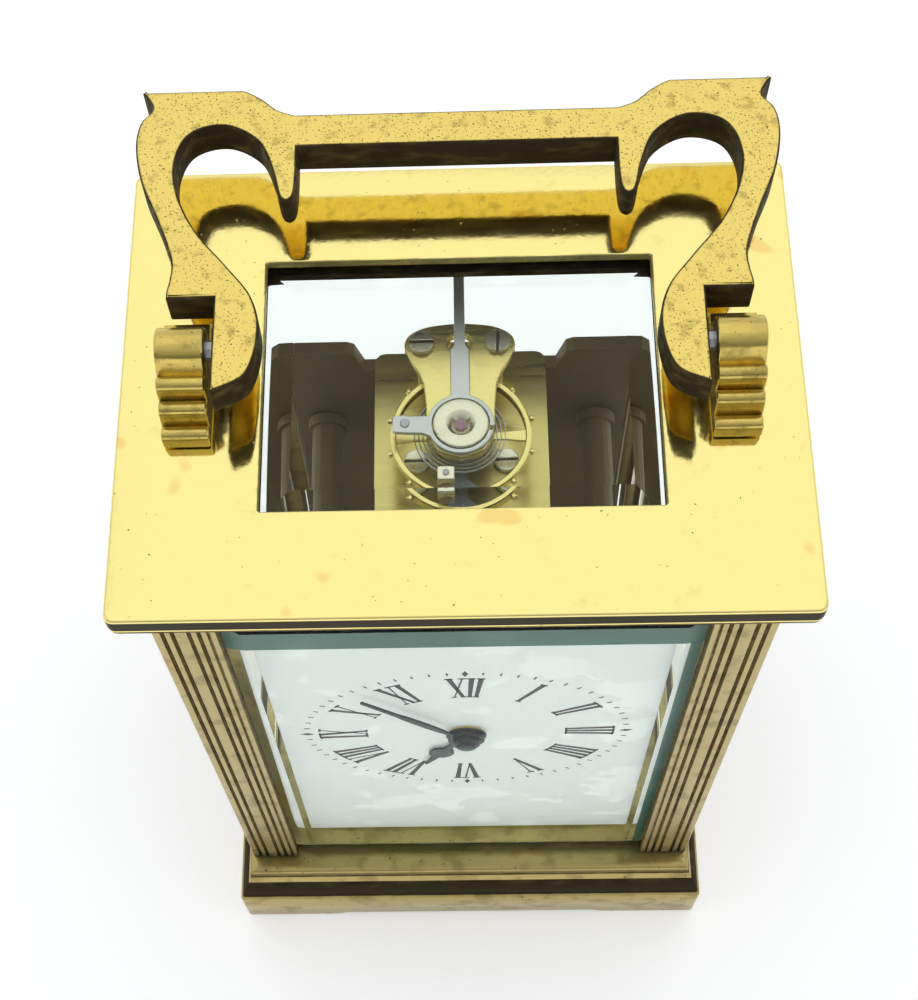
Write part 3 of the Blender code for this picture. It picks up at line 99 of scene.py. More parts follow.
class CaseValues(bpy.types.PropertyGroup):
    """Sizes of the case."""

    window_width: size("Window width", "Opening in the top plate, left to right", 48.6)
    window_depth: size("Window depth", "Opening in the top plate, front to back", 35.4)
    window_lip: size("Window lip", "Thickness of the plate above the glass", 1.2)
    glass_seat: size("Glass seat", "Glass hidden round the opening", 1.8)
    plate_edge: size("Plate edge", "Rounding of the top plate's upper edge", 0.35)
    plate_corner: size("Plate corner", "Rounding of the top plate's corners in plan", 1.2)
    band: size("Edge band", "Height of the flat band round the top plate", 2.2)
    foot_height: size("Foot band", "Height of the flat band round the plinth", 11.2)
    foot_length: size("Foot length", "Length of each corner foot along its side", 16.0)
    foot_arch: size("Foot arch", "Lift of the plinth between its feet", 1.0)
    ledge_inset: size("Ledge inset", "Plinth ledge, in from the foot band", 2.8)
    front_step: share("Front step", "Insets of the plinth's front moulding against the sides'", 1.5, 2.0)
    # Painted green band: a strip that stands in for the green of the glass's thick edge.
    painted_green_depth: size("Green depth", "Height of the green band behind the front glass's top edge", 11.0)
    # Darkness of the grooves: tarnished metal and painted shade.
    reed_tarnish_and_shade: share("Reed tarnish", "Darkness of the grooves in the posts", 0.55)
    reed_depth: size("Reed depth", "Depth of the grooves that run down the posts", 0.35)
    slot_depth: size("Slot depth", "Groove in the posts that holds a glass", 1.8)
    glass_setback: size("Glass setback", "Glass face, in from the post face", 1.2)
    glass_thickness: size("Glass thickness", "Thickness of the front and side glasses", 2.4)


class HandleValues(bpy.types.PropertyGroup):
    """Sizes of the handle and its lugs."""

    edge: size("Edge", "Rounding of the handle's edges", 0.35)
    bar_foot: size("Bar foot", "Lower edge of the hand bar above the axis", 28.0)
    bar_width: size("Bar width", "Width of the hand bar", 4.9)
    boss_side: size("Boss side", "Flat side of the boss, out from the middle", 29.2)
    ledge: size("Ledge", "Step on the handle above its axis", 6.0)
    axis_height: size("Axis height", "Handle axis above the top plate", 7.4)
    lug_edge: size("Lug edge", "Rounding of the lugs' edges", 0.3)


class DialValues(bpy.types.PropertyGroup):
    """Sizes of the dial and its hands."""

    thickness: size("Thickness", "Thickness of the dial", 1.0)
    track: size("Track radius", "Radius of the minute track", 23.5)
    numeral_inner: share("Numeral foot", "Foot of the numerals as a share of the track radius", 0.62)
    numeral_outer: share("Numeral top", "Top of the numerals as a share of the track radius", 0.93)
    thick: size("Thick stroke", "Width of the numerals' thick strokes", 0.66)
    thin: size("Thin stroke", "Width of the numerals' thin strokes", 0.24)
    ink: size("Ink", "Height of the ink on the dial", 0.03)
    minutes: FloatProperty(name="Minutes", description="Minutes that the hands show", default=53.0)
    hours: FloatProperty(name="Hours", description="Full hours that the hands show", default=6.0)
    minute_length: size("Minute hand", "Length of the minute hand", 21.8)
    hour_length: size("Hour hand", "Length of the hour hand", 14.2)


class MovementValues(bpy.types.PropertyGroup):
    """Sizes of the platform and its escapement."""

    screw_radius: size("Screw radius", "Radius of the platform's screw heads", 1.66)
    slot_width: size("Slot width", "Width of the slots in the screws", 0.32)
    spring_turns: FloatProperty(name="Spring turns", description="Turns of the flat spring", default=9.0)
    spring_outer: size("Spring radius", "Outer radius of the flat spring", 6.2)
    timing_screws: IntProperty(name="Timing screws", description="Screws round the balance", default=12)
    cock_width: size("Cock width", "Width of the balance cock's head", 14.6)
    edge: size("Edge", "Rounding of the small parts' edges", 0.16)


class FinishValues(bpy.types.PropertyGroup):
    """Colours of the finishes."""

    polished: colour("Polished brass", "Lacquered brass of the top plate", (0.93, 0.80, 0.30))
    aged: colour("Aged brass", "Dull brass of the posts and the plinth", (0.46, 0.37, 0.14))
    handle: colour("Handle brass", "Brass of the handle and lugs", (0.82, 0.63, 0.17))
    movement: colour("Movement brass", "Brushed brass of the movement", (0.88, 0.74, 0.27))
    # Dark colour of tarnished metal, and of painted shade in hollows, on walls and on edge bands.
    tarnish_and_shade: colour("Tarnish", "Dark brown of hollows and unpolished edges", (0.045, 0.034, 0.018))
    enamel: colour("Enamel", "White of the dial", (0.86, 0.88, 0.85))
    glass: colour("Glass", "Tint of the glass along its thickness", (0.70, 0.88, 0.82))


class StageValues(bpy.types.PropertyGroup):
    """Light and camera."""

    floor: colour("Floor", "Colour of the floor", (0.93, 0.93, 0.94))
    floor_glow: share("Floor glow", "Light the floor gives off, so that its shadows stay faint", 0.35)
    softbox: FloatProperty(name="Softbox", description="Power of the softbox overhead, in watts", default=0.5)
    sky: FloatProperty(name="Sky", description="Strength of the pale surroundings", default=0.78)
    camera_place: FloatVectorProperty(name="Camera", description="Place of the camera", size=3,
                                      default=(0.000508, -0.108471, 0.302646), subtype="TRANSLATION")
    camera_yaw: FloatProperty(name="Yaw", description="Camera heading from +Y towards +X",
                              default=math.radians(-4.773), subtype="ANGLE")
    camera_pitch: FloatProperty(name="Pitch", description="Camera angle below the horizon",
                                default=math.radians(66.775), subtype="ANGLE")
    camera_roll: FloatProperty(name="Roll", description="Camera turn about its own line of sight",
                               default=math.radians(-5.301), subtype="ANGLE")
    lens: FloatProperty(name="Lens", description="Focal length in millimetres", default=60.72)
    shift_x: FloatProperty(name="Shift across", description="Sideways shift of the lens", default=0.0465)
    shift_y: FloatProperty(name="Shift up", description="Upward shift of the lens", default=0.12)


GROUPS = {
    "clock_case": CaseValues,
    "clock_handle": HandleValues,
    "clock_dial": DialValues,
    "clock_movement": MovementValues,
    "clock_finish": FinishValues,
    "clock_stage": StageValues,
}


# ---------------------------------------------------------------- shader maths
class Channel:
    """A node's output in a tree. Sums, differences and products of channels add Math nodes."""

    def __init__(self, nodes, socket):
        self.nodes = nodes
        self.socket = socket

    def math(self, operation, first, second):
        return self.nodes.node("ShaderNodeMath", {"operation": operation}, {0: first, 1: second})

    def __add__(self, other):
        return self.math("ADD", self, other)

    __radd__ = __add__

    def __mul__(self, other):
        return self.math("MULTIPLY", self, other)

    __rmul__ = __mul__

    def __sub__(self, other):
        return self.math("SUBTRACT", self, other)

    def __rsub__(self, other):
        return self.math("SUBTRACT", other, self)

    def highest(self, other):
        return self.math("MAXIMUM", self, other)


class Nodes:
    """A node tree that grows by one method."""

    def __init__(self, tree):
        self.tree = tree

    def node(self, kind, settings=None, sockets=None, output=0):
        """Add a node: its settings first, then its sockets' values or links; gives one output."""
        made = self.tree.nodes.new(kind)
        for key, value in (settings or {}).items():
            setattr(made, key, value)
        for key, value in (sockets or {}).items():
            self.feed(made.inputs[key], value)
        return Channel(self, made.outputs[output])

    def feed(self, socket, value):
        if isinstance(value, Channel):
            self.tree.links.new(value.socket, socket)
        elif isinstance(value, (tuple, list)) and len(value) == 3 and socket.type == "RGBA":
            socket.default_value = (*value, 1.0)
        else:
            socket.default_value = value


class Finish(Nodes):
    """A material with one Principled shader, whose channels are written as expressions."""

    def __init__(self, name):
        self.material = bpy.data.materials.new(name)
        self.material.use_nodes = True
        super().__init__(self.material.node_tree)
        self.shader = self.tree.nodes["Principled BSDF"]
        self.place = self.node("ShaderNodeTexCoord", output="Object")

    def noise(self, grains_per_metre, detail=3.0, stretch=None):
        """Cloudy noise from 0 to 1; stretch gives the pattern's scale along X, Y and Z."""
        place = self.place
        if stretch:
            place = self.node("ShaderNodeMapping", {}, {"Vector": self.place, "Scale": stretch})
        return self.node("ShaderNodeTexNoise", {},
                         {"Vector": place, "Scale": grains_per_metre, "Detail": detail})

    def rise(self, channel, low, high):
        """0 below low, 1 above high and a smooth rise between them."""
        return self.node("ShaderNodeMapRange", {"interpolation_type": "SMOOTHSTEP"},
                         {"Value": channel, "From Min": low, "From Max": high})

    def mix(self, amount, first, second):
        """Colour that goes from the first to the second as the amount goes from 0 to 1."""
        return self.node("ShaderNodeMix", {"data_type": "RGBA"}, {0: amount, 6: first, 7: second}, 2)

    def tarnish_and_shade(self):
        """The piece's own value of tarnished metal and painted shade, 0 on open faces and 1 in hollows."""
        return self.node("ShaderNodeAttribute", {"attribute_name": "tarnish_and_shade"}, {}, "Fac")

    def set(self, **channels):
        """Feed the shader's sockets; an underscore stands for a space in a socket's name."""
        for key, value in channels.items():
            self.feed(self.shader.inputs[key.replace("_", " ").title()], value)

    def relief(self, height, depth):
        """Bump from a height channel, with its depth in metres."""
        bump = self.node("ShaderNodeBump", {}, {"Height": height, "Distance": depth}, "Normal")
        self.tree.links.new(bump.socket, self.shader.inputs["Normal"])


def scaled(tone, amount):
    """A colour whose three values are multiplied by an amount."""
    return tuple(amount * c for c in tone)


def brass(name, bright, dull, dark, mottle, pits, roughness, grain=1.0, warmth=0.45):
    """Brass with mottled tarnished patches, small dark pits, faint warm blotches, and its hollows darkened
    with tarnished metal and painted shade.

    mottle is the share of dull metal, pits the share of pitted surface, and grain makes both finer.
    """
    finish = Finish(name)
    cloud = finish.noise(260 * grain, 5.0)
    fine = finish.noise(1500 * grain, 3.0)
    patch = finish.noise(95, 2.0)
    warm = finish.noise(140, 1.0, (1.0, 1.3, 0.8))
    rubbed = finish.noise(700, 4.0, (0.35, 1.0, 1.0))
    worn = finish.rise(cloud, 0.66 - 0.32 * mottle, 0.80 - 0.22 * mottle) * (0.35 + 0.65 * mottle)
    spots = finish.rise(fine, 0.74 - 0.12 * pits, 0.79 - 0.12 * pits)
    spots = spots * finish.rise(patch, 0.52 - 0.3 * pits, 0.60 - 0.25 * pits)
    blotch = finish.rise(warm, 0.68, 0.74) * warmth
    # Hollows, walls and edge bands: tarnished metal and painted shade, frayed by the rubbed noise. They
    # darken, dull and roughen the metal.
    hollow_tarnish_shade = finish.rise(finish.tarnish_and_shade() + (rubbed - 0.5) * 0.5, 0.08, 0.85)
    tone = finish.mix(worn, bright, dull)
    tone = finish.mix(blotch, tone, (bright[0] * 0.86, bright[1] * 0.58, bright[2] * 0.42))
    tone = finish.mix(spots * 0.8, tone, scaled(dull, 0.25))
    tone = finish.mix(hollow_tarnish_shade, tone, dark)
    finish.set(base_color=tone,
               roughness=(rubbed - 0.5) * 0.12 + worn * 0.12 + spots * 0.25 + hollow_tarnish_shade * 0.35 + roughness,
               metallic=1.0 - spots * 0.6 - hollow_tarnish_shade * 0.9)
    finish.shader.inputs["Specular IOR Level"].default_value = 0.04
    finish.relief(cloud * 0.5 + fine * 0.35 - spots * 1.2, 0.00002 + 0.00002 * mottle)
    return finish.material


def brushed(name, bright, dark, roughness, stretch, metallic=1.0):
    """Metal with fine lines, long in one direction, that change its tone and gloss."""
    finish = Finish(name)
    lines = finish.noise(900, 2.0, stretch)
    cloud = finish.noise(160, 3.0)
    fine = finish.noise(2200, 2.0)
    # Hollows darken with tarnished metal and painted shade; small random spots darken too.
    hollow_tarnish_shade = finish.rise(finish.tarnish_and_shade() + (cloud - 0.5) * 0.3, 0.1, 0.9)
    spots = finish.rise(fine, 0.74, 0.80)
    tone = finish.mix(lines, scaled(bright, 0.86), bright)
    tone = finish.mix(finish.rise(cloud, 0.55, 0.78) * 0.35, tone, scaled(bright, 0.72))
    tone = finish.mix(hollow_tarnish_shade.highest(spots * 0.5), tone, dark)
    finish.set(base_color=tone, metallic=metallic,
               roughness=(lines - 0.5) * 0.22 + hollow_tarnish_shade * 0.2 + roughness)
    finish.relief(lines, 0.000008)
    return finish.material


def enamel(name, white):
    """Glossy enamel with a faint cloud and tiny dust, and a painted glow: it gives off light in its own
    colour though it is no lamp.
    """
    finish = Finish(name)
    cloud = finish.noise(120, 3.0)
    dust = finish.rise(finish.noise(1800, 1.0), 0.76, 0.80)
    tone = finish.mix(cloud * 0.5, white, scaled(white, 0.95))
    tone = finish.mix(dust * 0.35, tone, (0.45, 0.44, 0.40))
    # Painted glow: the enamel's colour is also given off as light.
    finish.set(base_color=tone, roughness=cloud * 0.1 + 0.28, metallic=0.0, emission_color=tone)
    finish.shader.inputs["Emission Strength"].default_value = 0.30
    return finish.material


def ink(name):
    """Black print with a slightly uneven body."""
    finish = Finish(name)
    grain = finish.noise(2600, 3.0)
    finish.set(base_color=finish.mix(grain, (0.010, 0.011, 0.012), (0.035, 0.036, 0.038)),
               roughness=grain * 0.2 + 0.32, metallic=0.0)
    return finish.material


def jewel(name):
    """Pink synthetic ruby, its tone mixed between two pinks by a cloud."""
    finish = Finish(name)
    cloud = finish.noise(1500, 2.0)
    finish.set(base_color=finish.mix(cloud, (0.42, 0.20, 0.24), (0.60, 0.38, 0.42)),
               roughness=cloud * 0.05 + 0.06, metallic=0.0)
    finish.shader.inputs["Transmission Weight"].default_value = 0.35
    return finish.material


def clear_glass(name, tint):
    """Clear glass that is green through its thickness, and lets light pass to what is behind it.

    Most of it only bends what is behind; the rest also mirrors, so that reflections stay calm.
    """
    pale, index, calm_share = (0.985, 1.0, 0.992), 1.5, 0.82
    finish = Finish(name)
    smear = finish.rise(finish.noise(90, 4.0), 0.45, 0.85)
    finish.set(base_color=pale, roughness=smear * 0.015, metallic=0.0)
    finish.shader.inputs["Transmission Weight"].default_value = 1.0
    finish.shader.inputs["IOR"].default_value = index
    output = finish.tree.nodes["Material Output"]
    absorb = finish.node("ShaderNodeVolumeAbsorption", {}, {"Color": tint, "Density": 40.0})
    finish.tree.links.new(absorb.socket, output.inputs["Volume"])
    clear = finish.node("ShaderNodeBsdfTransparent", {}, {"Color": (0.90, 0.96, 0.93)})
    shadow = finish.node("ShaderNodeLightPath", {}, {}, "Is Shadow Ray")
    bend = finish.node("ShaderNodeBsdfRefraction", {}, {"Color": pale, "Roughness": 0.0, "IOR": index})
    mirror = Channel(finish, finish.shader.outputs[0])
    calm = finish.node("ShaderNodeMixShader", {}, {0: calm_share, 1: mirror, 2: bend})
    blend = finish.node("ShaderNodeMixShader", {}, {0: shadow, 1: calm, 2: clear})
    finish.tree.links.new(blend.socket, output.inputs["Surface"])
    return finish.material


def painted_edge_green(name):
    """Painted light: a thin dark green film that lets some of what is behind it through, standing in for the
    green that the thick glass shows at its edges.
    """
    finish = Finish(name)
    cloud = finish.noise(220, 3.0, (0.3, 1.0, 1.0))
    finish.set(base_color=finish.mix(cloud, (0.015, 0.12, 0.085), (0.03, 0.20, 0.14)),
               roughness=cloud * 0.1 + 0.3, metallic=0.0, alpha=cloud * 0.15 + 0.72)
    return finish.material


def make_finishes(values):
    """Every finish of the clock, by name."""
    dark = tuple(values.tarnish_and_shade)
    polished, aged = tuple(values.polished), tuple(values.aged)
    grip, works = tuple(values.handle), tuple(values.movement)
    brass("polished brass", polished, scaled(polished, 0.72), dark, 0.10, 0.35, 0.10)
    brass("aged brass", aged, scaled(aged, 0.62), dark, 0.55, 0.55, 0.30)
    brass("handle brass", grip, scaled(grip, 0.52), dark, 0.42, 1.0, 0.22, 2.6, 0.12)
    brass("lug brass", scaled(grip, 0.86), scaled(grip, 0.45), dark, 0.45, 0.6, 0.18, 1.8, 0.2)
    # Paler brass for the stamped marks on the cock: a painted highlight.
    brushed("mark brass with painted highlight", (0.98, 0.84, 0.42), dark, 0.18, (1.0, 0.3, 1.0))
    # Darker copies of the movement brass, painted shade: on the platform under the cock, on the front plate,
    # and on the back plate and pillars deep in the case.
    brushed("shaded platform brass", scaled(works, 0.78), dark, 0.30, (0.06, 1.0, 1.0))
    brushed("movement brass", works, dark, 0.26, (0.06, 1.0, 1.0))
    brushed("shaded plate brass", scaled(works, 0.34), dark, 0.34, (1.0, 1.0, 0.06))
    brushed("shaded brass", (0.20, 0.14, 0.06), dark, 0.55, (1.0, 1.0, 0.06), 0.4)
    brushed("nickel", (0.82, 0.72, 0.47), dark, 0.30, (0.3, 1.0, 1.0))
    brushed("pale nickel", (0.84, 0.78, 0.58), dark, 0.28, (1.0, 0.3, 1.0))
    brushed("screw metal", (0.50, 0.46, 0.34), dark, 0.30, (0.3, 1.0, 1.0))
    brushed("steel", (0.56, 0.55, 0.53), (0.03, 0.03, 0.03), 0.24, (1.0, 0.1, 1.0))
    brushed("blued steel", (0.050, 0.052, 0.060), (0.01, 0.01, 0.01), 0.30, (1.0, 1.0, 0.2))
    enamel("white enamel", tuple(values.enamel))
    ink("black ink")
    jewel("ruby")
    clear_glass("clear glass", tuple(values.glass))
    painted_edge_green("painted edge green")


# ---------------------------------------------------------------- shapes
# A shape is (points, faces, tarnish and shade): an N x 3 array, a list of corner indexes and N values of
# tarnished metal and painted shade.
def arc(cx, cy, radius, start, end, steps):
    """Points of a circle's arc, angles in degrees, both ends included."""
    a = np.radians(np.linspace(start, end, steps + 1))
    return np.stack([cx + radius * np.cos(a), cy + radius * np.sin(a)], 1)


def circle(radius, steps, cx=0.0, cy=0.0):
    return arc(cx, cy, radius, 0, 360, steps)[:-1]


def flowing(points, steps):
    """Catmull-Rom curve: each span is the cubic of its two ends and their two neighbours."""
    p = np.asarray(points, float)
    p0, p1, p2, p3 = (np.concatenate([p[:1], p, p[-1:]])[i:len(p) - 1 + i, None] for i in range(4))
    t = np.linspace(0, 1, steps, endpoint=False)[None, :, None]
    curve = 0.5 * (2 * p1 + (p2 - p0) * t + (2 * p0 - 5 * p1 + 4 * p2 - p3) * t ** 2
                   + (3 * p1 - p0 - 3 * p2 + p3) * t ** 3)
    return np.concatenate([curve.reshape(-1, 2), p[-1:]])


def rounded_rectangle(half_x, half_y, radius, corner=5, side=6):
    """Anticlockwise rectangle with quarter-circle corners and evenly spaced points on its sides."""
    loops = []
    for quarter in range(4):
        turn = np.radians(90 * quarter)
        here = (half_x, half_y) if quarter % 2 == 0 else (half_y, half_x)
        after = (half_y, half_x) if quarter % 2 == 0 else (half_x, half_y)
        bend = arc(here[0] - radius, here[1] - radius, radius, 0, 90, corner)
        run = np.linspace(here[0] - radius, -(after[1] - radius), side + 2)[1:-1]
        local = np.concatenate([bend, np.stack([run, np.full(side, here[1])], 1)])
        c, s = np.cos(turn), np.sin(turn)
        loops.append(local @ np.array([[c, s], [-s, c]]))
    return np.concatenate(loops)


def anticlockwise(loop):
    """The loop, reversed if it runs clockwise (its signed area is below zero)."""
    x, y = loop[:, 0], loop[:, 1]
    area = np.sum(x * np.roll(y, -1) - y * np.roll(x, -1))
    return loop if area > 0 else loop[::-1]


def inset(loop, distance):
    """Each point moved to the left of its path, along the mean normal of its two edges."""
    def left(edge):
        length = np.maximum(np.linalg.norm(edge, axis=1), 1e-9)
        return np.stack([-edge[:, 1], edge[:, 0]], 1) / length[:, None]
    before = left(loop - np.roll(loop, 1, 0))
    after = left(np.roll(loop, -1, 0) - loop)
    spread = np.clip(1 + np.sum(before * after, 1), 0.5, 2.0)
    return loop + distance * (before + after) / spread[:, None]


def upright(loop, height, axis="Z"):
    """Plan points lifted to a height: along Z, along -Y from the (x, z) plan, or along X from (y, z)."""
    x, y = loop[:, 0], loop[:, 1]
    h = np.broadcast_to(height, x.shape)
    return {"Z": np.stack([x, y, h], 1), "Y": np.stack([x, -h, y], 1), "X": np.stack([h, x, y], 1)}[axis]


def skin(rings, tarnish_and_shade, closed=False, wrap=True):
    """Quads between successive rings of equal length; closed joins the last ring to the first."""
    rings = np.asarray(rings)
    count, around = rings.shape[:2]
    i, j = np.meshgrid(np.arange(count if closed else count - 1),
                       np.arange(around if wrap else around - 1), indexing="ij")
    up, on = (i + 1) % count, (j + 1) % around
    quads = np.stack([i * around + j, i * around + on, up * around + on, up * around + j], -1)
    shade = np.repeat(np.asarray(tarnish_and_shade, float), around) if np.ndim(tarnish_and_shade) == 1 else np.ravel(tarnish_and_shade)
    return rings.reshape(-1, 3), quads.reshape(-1, 4).tolist(), shade


def capped(rings, tarnish_and_shade):
    """A skin whose first and last rings are closed by one face each."""
    points, faces, shade = skin(rings, tarnish_and_shade)
    around = len(rings[0])
    faces.append(list(range(around))[::-1])
    faces.append(list(range(len(points) - around, len(points))))
    return points, faces, shade


def joined(shapes):
    """Several shapes as one, each keeping its own closed surface."""
    points, faces, shades, start = [], [], [], 0
    for p, f, s in shapes:
        points.append(p)
        shades.append(s)
        faces.extend([[v + start for v in face] for face in f])
        start += len(p)
    return np.concatenate(points), faces, np.concatenate(shades)


def moved(shape, x=0.0, y=0.0, z=0.0):
    return shape[0] + np.array([x, y, z]), shape[1], shape[2]


def turned(shape, angle, axis="Z"):
    """The shape turned about an axis through the origin, by an angle in radians."""
    turn = np.array(Matrix.Rotation(angle, 3, axis))
    return shape[0] @ turn.T, shape[1], shape[2]


def rounded_prism(outline, low, high, edge, holes=(), axis="Z", wall=0.0, face=0.0, steps=3):
    """Outline drawn out between two heights, with a quarter-round of the edge's radius at both ends.

    Each loop is inset by edge * (1 - sin a) while its height goes by edge * (1 - cos a).
    """
    # wall and face darken the sides and the flat ends: tarnished metal and painted shade.
    loops = [anticlockwise(np.asarray(outline))] + [anticlockwise(np.asarray(h))[::-1] for h in holes]
    bend = np.linspace(0, np.pi / 2, steps + 1)
    ins = edge * (1 - np.sin(bend))
    ins = np.concatenate([[ins[0] + 0.3 * edge], ins, ins[::-1], [ins[0] + 0.3 * edge]])
    rise = edge * (1 - np.cos(bend))
    level = np.concatenate([[low], low + rise, high - rise[::-1], [high]])
    shade = np.concatenate([[face, face], np.full(2 * steps, wall), [face, face]])
    shapes, bottoms, tops, start = [], [], [], 0
    for loop in loops:
        rings = [upright(inset(loop, i), h, axis) for i, h in zip(ins, level)]
        shapes.append(skin(rings, shade))
        bottoms.append(np.arange(start, start + len(loop)))
        start += len(loop) * len(rings)
        tops.append(np.arange(start - len(loop), start))
    points, faces, shades = joined(shapes)
    flat = [[(*p, 0.0) for p in inset(loop, ins[0])] for loop in loops]
    for ends in (bottoms, tops):
        index = np.concatenate(ends)
        corners = [[int(index[k]) for k in triple] for triple in tessellate_polygon(flat)]
        faces.extend(facing(corners, points, axis, ends is tops))
    return points, faces, shades


def facing(triangles, points, axis, upper):
    """The triangles, turned to face along the axis on the upper end and against it on the lower."""
    towards = {"Z": (0, 0, 1), "Y": (0, -1, 0), "X": (1, 0, 0)}[axis]
    corner = points[np.array(triangles)]
    normal = np.cross(corner[:, 1] - corner[:, 0], corner[:, 2] - corner[:, 0]) @ np.array(towards)
    good = normal > 0 if upper else normal < 0
    return [t if g else t[::-1] for t, g in zip(triangles, good)]


def lathe(profile, steps=40, axis="Z"):
    """Profile of (radius, height) points, low to high, turned round the axis; its ends are closed."""
    rings = [upright(circle(max(radius, 1e-5), steps), height, axis) for radius, height in profile]
    return capped(rings, np.zeros(len(rings)))


def ring_solid(profile, steps=64, axis="Z"):
    """Closed profile of (radius, height) points, anticlockwise, turned round the axis."""
    rings = [upright(circle(radius, steps), height, axis) for radius, height in profile]
    return skin(rings, np.zeros(len(rings)), closed=True)


def slotted_head(radius, height, slot, edge, turn=0.0):
    """Round screw head on z 0 to height: two half discs on a thin disc, with a slot between them."""
    start = math.degrees(math.asin(slot / 2 / radius))
    half = arc(0, 0, radius, start, 180 - start, 20)
    upper = rounded_prism(half, 0.35 * height, height, edge)
    other = (upper[0] * np.array([-1, -1, 1]), upper[1], upper[2])
    # The thin disc shows at the slot's bottom and is darker: painted shade and tarnished metal.
    floor = rounded_prism(circle(radius * 0.985, 40), 0.0, 0.45 * height, edge * 0.3, wall=0.5, face=0.7)
    return turned(joined([upper, other, floor]), turn)


# ---------------------------------------------------------------- pieces
def place_piece(name, mesh, look, body, replaces, sharp=32.0):
    """Smooth a mesh, give it its finish and make it a piece of the clock that rides on a body."""
    mesh.shade_smooth()
    mesh.set_sharp_from_angle(angle=math.radians(sharp))
    mesh.materials.clear()
    mesh.materials.append(bpy.data.materials[look])
    piece = bpy.data.objects.new(name, mesh)
    bpy.context.scene.collection.objects.link(piece)
    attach(piece, body)
    if replaces:
        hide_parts(*replaces)
    return piece


def add_piece(name, shape, look, body, replaces=(), sharp=32.0):
    """Turn a shape into a piece, with its tarnish as a point attribute."""
    points, faces, shade = shape
    mesh = bpy.data.meshes.new(name)
    mesh.from_pydata(np.asarray(points).tolist(), [], faces)
    mesh.attributes.new("tarnish_and_shade", "FLOAT", "POINT").data.foreach_set("value", np.asarray(shade, np.float32))
    # Turn a shape into a piece, with its tarnished metal and painted shade as a point attribute.
    place_piece(name, mesh, look, body, replaces, sharp)


def cover(node, shape, look, body="case", sharp=32.0):
    """A piece that stands for one frame node and is named after it."""
    add_piece(f"{node}_surface", shape, look, body, [node], sharp)


def soften(node, look, body, width):
    """A copy of a frame piece with its flat faces merged and a small round on its edges."""
    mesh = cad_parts[node].data.copy()
    bm = bmesh.new()
    bm.from_mesh(mesh)
    bmesh.ops.remove_doubles(bm, verts=bm.verts, dist=1e-6)
    bmesh.ops.dissolve_limit(bm, angle_limit=math.radians(1.0), verts=bm.verts, edges=bm.edges)
    bm.to_mesh(mesh)
    bm.free()
    mesh.name = f"{node}_surface"
    piece = place_piece(mesh.name, mesh, look, body, [node])
    bevel = piece.modifiers.new("edge", "BEVEL")
    bevel.width = width
    bevel.segments = 2
    bevel.limit_method = "ANGLE"
    bevel.angle_limit = math.radians(40.0)
    bevel.use_clamp_overlap = True


def build_top_plate(case):
    """Top plate: rings run from the window's lip over the face, round the moulded edge and back inside.

    Each ring is a rounded rectangle; its half sizes and height follow the plate's section. Its last value
    darkens it with tarnished metal and painted shade: on the window's lip and seat, the edge band, the
    moulding's hollows and the underside.
    """
    x, y, top, low = PLATE_HIGH.x, PLATE_HIGH.y, PLATE_HIGH.z, PLATE_LOW.z
    wx, wy = case.window_width / 2, case.window_depth / 2
    seat = case.glass_seat
    lip = top - case.window_lip
    e, r = case.plate_edge, case.plate_corner
    sill = 0.3 * MM

    def by_window(out, corner, level, shade):
        return wx + out, wy + out, corner, level, shade

    def by_edge(out, level, shade):
        return x - out, y - out, r, level, shade

    section = [by_window(0.0, sill, lip, 0.5), by_window(0.0, sill, top - 0.25 * MM, 0.5),
               by_window(0.12 * MM, 0.35 * MM, top - 0.05 * MM, 0.35),
               by_window(0.3 * MM, 0.4 * MM, top, 0.1), by_window(1.2 * MM, 0.6 * MM, top, 0.0)]
    section += [by_edge(e * (1 - math.sin(a)), top - e * (1 - math.cos(a)), 0.0)
                for a in np.linspace(0, np.pi / 2, 5)]
    band = top - e - case.band
    section += [by_edge(0.0, top - e - 0.06 * MM, 0.9), by_edge(0.0, band, 0.95)]
    for out, down, shade in ((0.32, 0.10, 0.9), (0.34, 0.22, 0.7), (0.12, 0.28, 0.0), (0.04, 0.40, 0.0),
                             (0.12, 0.52, 0.0), (0.36, 0.58, 0.8), (0.36, 0.66, 0.9), (0.10, 0.74, 0.6)):
        section.append(by_edge(out * MM, band - down * MM, shade))
    section += [by_edge(0.1 * MM, low + 0.1 * MM, 0.8), by_edge(0.25 * MM, low, 0.8),
                by_window(seat, sill, low, 0.8), by_window(seat, sill, lip, 0.8)]
    rings = [upright(rounded_rectangle(a, b, c, 6, 10), z) for a, b, c, z, _ in section]
    cover("top_plate", skin(rings, [s[-1] for s in section], closed=True), "polished brass")


def build_cornice(case):
    """Frame under the top plate: a square fillet over a quarter hollow, with the window cut through."""
    low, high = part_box("cornice_frame")
    x, y = high.x, high.y
    wx, wy = case.window_width / 2, case.window_depth / 2
    drop = high.z - low.z
    # Each step's last value darkens it with tarnished metal and painted shade: darkest at the fillet's step,
    # fading across the quarter hollow.
    section = [(0.0, 0.0, 0.5), (0.0, 0.42, 0.3), (0.25, 0.46, 1.0), (0.25, 0.52, 1.0)]
    bend = np.linspace(0, np.pi / 2, 6)
    section += [(0.3 + 0.7 * (1 - math.cos(a)), 0.55 + 0.4 * math.sin(a), 0.8 - 0.5 * a) for a in bend]
    section += [(1.05, 1.0, 0.4)]
    rings, shades = [], []
    for out, down, shade in section:
        plan = rounded_rectangle(x - out * MM, y - out * MM, 1.0 * MM, 6, 10)
        rings.append(upright(plan, high.z - drop * down))
        shades.append(shade)
    for level in (low.z, high.z):
        rings.append(upright(rounded_rectangle(wx, wy, 0.3 * MM, 6, 10), level))
        shades.append(0.8)
    add_piece("cornice_surface", skin(rings, shades, closed=True), "aged brass", "case",
              ["cornice_frame"])


